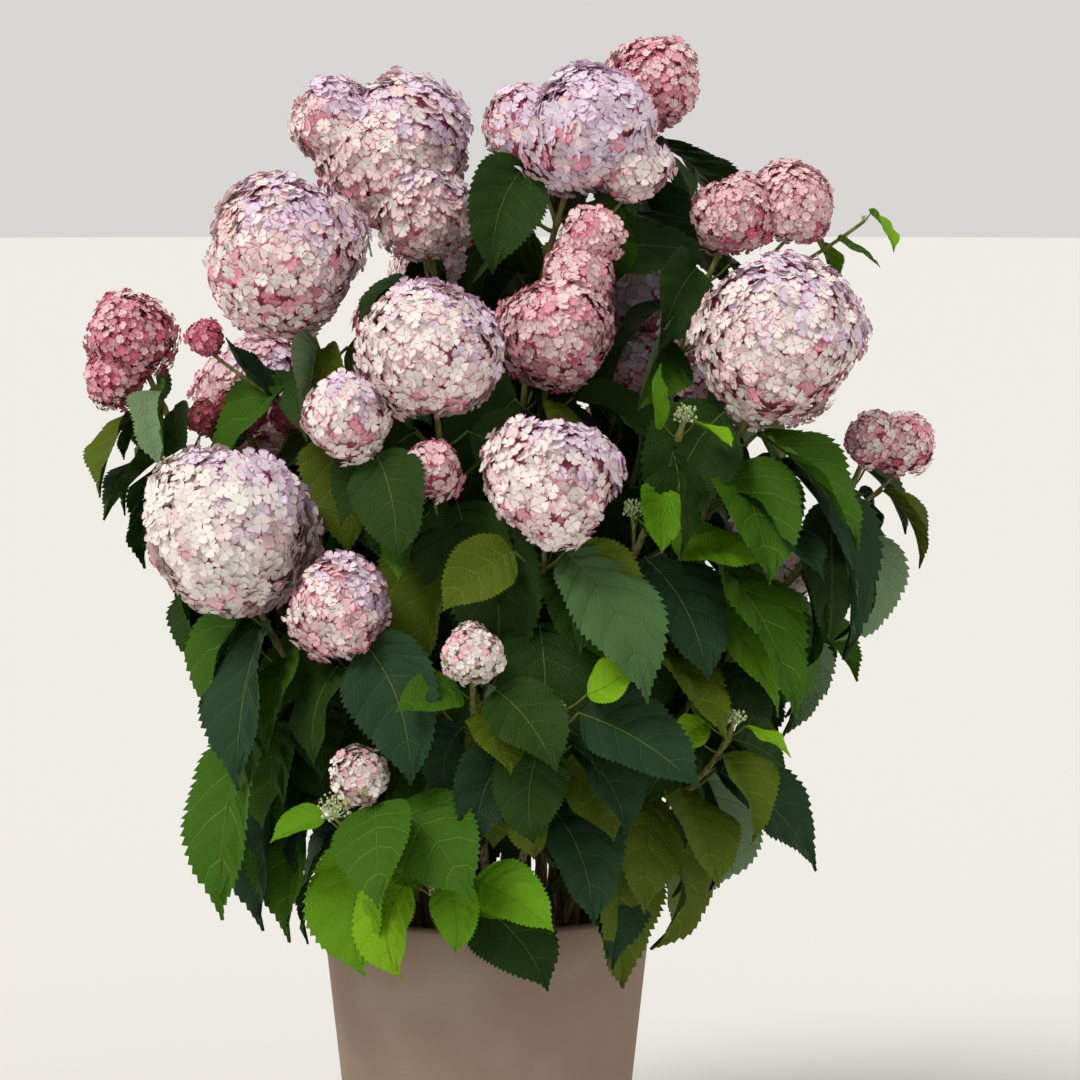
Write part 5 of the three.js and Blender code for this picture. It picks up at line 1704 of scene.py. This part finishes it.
class HYDRANGEA_OT_blossom(bpy.types.Operator):
    """Sets the florets, buds and branches of every flower head"""

    bl_idname = "hydrangea.blossom"
    bl_label = "Blossom"

    def execute(self, context):
        settings = context.scene.hydrangea_blossom
        grown = plant()
        skins = [petal_material(f"sepal_{tone}", getattr(settings, tone)) for tone in TONES]
        for side in SIDES:
            heads = [head for shoot in sides_of(grown, side) for head in shoot.own]
            parts = [part for head in heads for part in head_parts(grown, head, settings)]
            seat(build(f"blossom_{side}", parts, skins), "blossom", side)
        return {"FINISHED"}


# Stage

# The photo's camera looks down, so that the horizon lies above the picture's middle. Both are in its pixels.
FOCUS_PIXELS = 4820
HORIZON_PIXELS = 433
CAMERA_PLACE = (0.058, -5.2, 1.21)
CAMERA_PITCH = math.atan(HORIZON_PIXELS / FOCUS_PIXELS)
CAMERA_LENS = 160.7
SENSOR_WIDTH = 36
VIEW_END = 200
SUN_WAY = (-0.55, -0.62, 1.0)
SUN_COLOUR = (1.0, 0.965, 0.91)
FLOOR_RADIUS = 40
FLOOR_RINGS = 24
FLOOR_TURNS = 96


class HYDRANGEA_OT_stage(bpy.types.Operator):
    """Sets the pale floor, the soft light and the camera"""

    bl_idname = "hydrangea.stage"
    bl_label = "Stage"

    def execute(self, context):
        scene = context.scene
        settings = scene.hydrangea_stage
        radius = FLOOR_RADIUS * (np.arange(1, FLOOR_RINGS + 1) / FLOOR_RINGS) ** 2 / MM
        turn = TAU * np.arange(FLOOR_TURNS) / FLOOR_TURNS
        ring = np.stack([radius[:, None] * np.cos(turn), radius[:, None] * np.sin(turn)], -1)
        places = np.concatenate([np.dstack([ring, 0 * ring[..., :1]]).reshape(-1, 3), [(0, 0, 0)]])
        walls, _ = tube_faces(FLOOR_RINGS, FLOOR_TURNS)
        here = np.arange(FLOOR_TURNS)
        middle = np.stack([0 * here + len(places) - 1, here, (here + 1) % FLOOR_TURNS], -1)
        plaster, tree, shader, place = blank("pale_plaster_floor", settings.floor, ior=1.5, specular=0.1)
        grain = add(tree, "ShaderNodeTexNoise", {"Vector": place}, {"Scale": 3.0}).outputs[0]
        finish_with(tree, shader, grain, grain, roughness=(0.9, 0.96), strength=0.02, depth=0.0005)
        floor = build("floor", [(places, [(walls[:, ::-1], 0), (middle, 0)])], [plaster])

        world = bpy.data.worlds.new("pale_sky")
        world.use_nodes = True
        sky = world.node_tree.nodes["Background"]
        sky.inputs["Color"].default_value = settings.sky
        sky.inputs["Strength"].default_value = settings.sky_strength
        scene.world = world

        light = bpy.data.lights.new("soft_sun", "SUN")
        light.energy = settings.sun_strength
        light.angle = settings.sun_width
        light.color = SUN_COLOUR
        sun = bpy.data.objects.new("soft_sun", light)
        level = math.hypot(SUN_WAY[0], SUN_WAY[1])
        sun.rotation_euler = (math.atan2(level, SUN_WAY[2]), 0, math.atan2(SUN_WAY[0], -SUN_WAY[1]))
        scene.collection.objects.link(sun)

        lens = bpy.data.cameras.new("camera")
        lens.lens = CAMERA_LENS
        lens.sensor_width = SENSOR_WIDTH
        lens.clip_end = VIEW_END
        camera = bpy.data.objects.new("camera", lens)
        camera.location = CAMERA_PLACE
        camera.rotation_euler = (math.pi / 2 - CAMERA_PITCH, 0, 0)
        scene.collection.objects.link(camera)
        scene.camera = camera
        scene.view_settings.view_transform = "Standard"
        return {"FINISHED"}


SETTINGS = {
    "hydrangea_pot": PotSettings, "hydrangea_stems": StemSettings, "hydrangea_leaves": LeafSettings,
    "hydrangea_blossom": BlossomSettings, "hydrangea_stage": StageSettings,
}
OPERATORS = (
    HYDRANGEA_OT_pot, HYDRANGEA_OT_compost, HYDRANGEA_OT_stems, HYDRANGEA_OT_leaves, HYDRANGEA_OT_blossom,
    HYDRANGEA_OT_stage,
)


class HYDRANGEA_PT_sidebar(bpy.types.Panel):
    """Lists the plant's pieces and their settings"""

    bl_idname = "HYDRANGEA_PT_sidebar"
    bl_label = "Hydrangea"
    bl_space_type = "VIEW_3D"
    bl_region_type = "UI"
    bl_category = "Hydrangea"

    def draw(self, context):
        for operator in OPERATORS:
            self.layout.operator(operator.bl_idname)
        for name, group in SETTINGS.items():
            box = self.layout.box()
            box.label(text=name.removeprefix("hydrangea_").capitalize())
            for setting in group.__annotations__:
                box.prop(getattr(context.scene, name), setting)


def register():
    """Registers the settings, the operators and the panel."""
    for group in SETTINGS.values():
        bpy.utils.register_class(group)
    for name, group in SETTINGS.items():
        setattr(bpy.types.Scene, name, bpy.props.PointerProperty(type=group))
    for part in (*OPERATORS, HYDRANGEA_PT_sidebar):
        bpy.utils.register_class(part)


def unregister():
    """Undoes register, the last first."""
    for part in (HYDRANGEA_PT_sidebar, *reversed(OPERATORS)):
        bpy.utils.unregister_class(part)
    for name in SETTINGS:
        delattr(bpy.types.Scene, name)
    for group in SETTINGS.values():
        bpy.utils.unregister_class(group)


def main():
    """Grows the plant piece by piece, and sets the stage."""
    register()
    bpy.ops.hydrangea.pot()
    bpy.ops.hydrangea.compost()
    bpy.ops.hydrangea.stems()
    bpy.ops.hydrangea.leaves()
    bpy.ops.hydrangea.blossom()
    bpy.ops.hydrangea.stage()


if __name__ == "__main__":
    main()
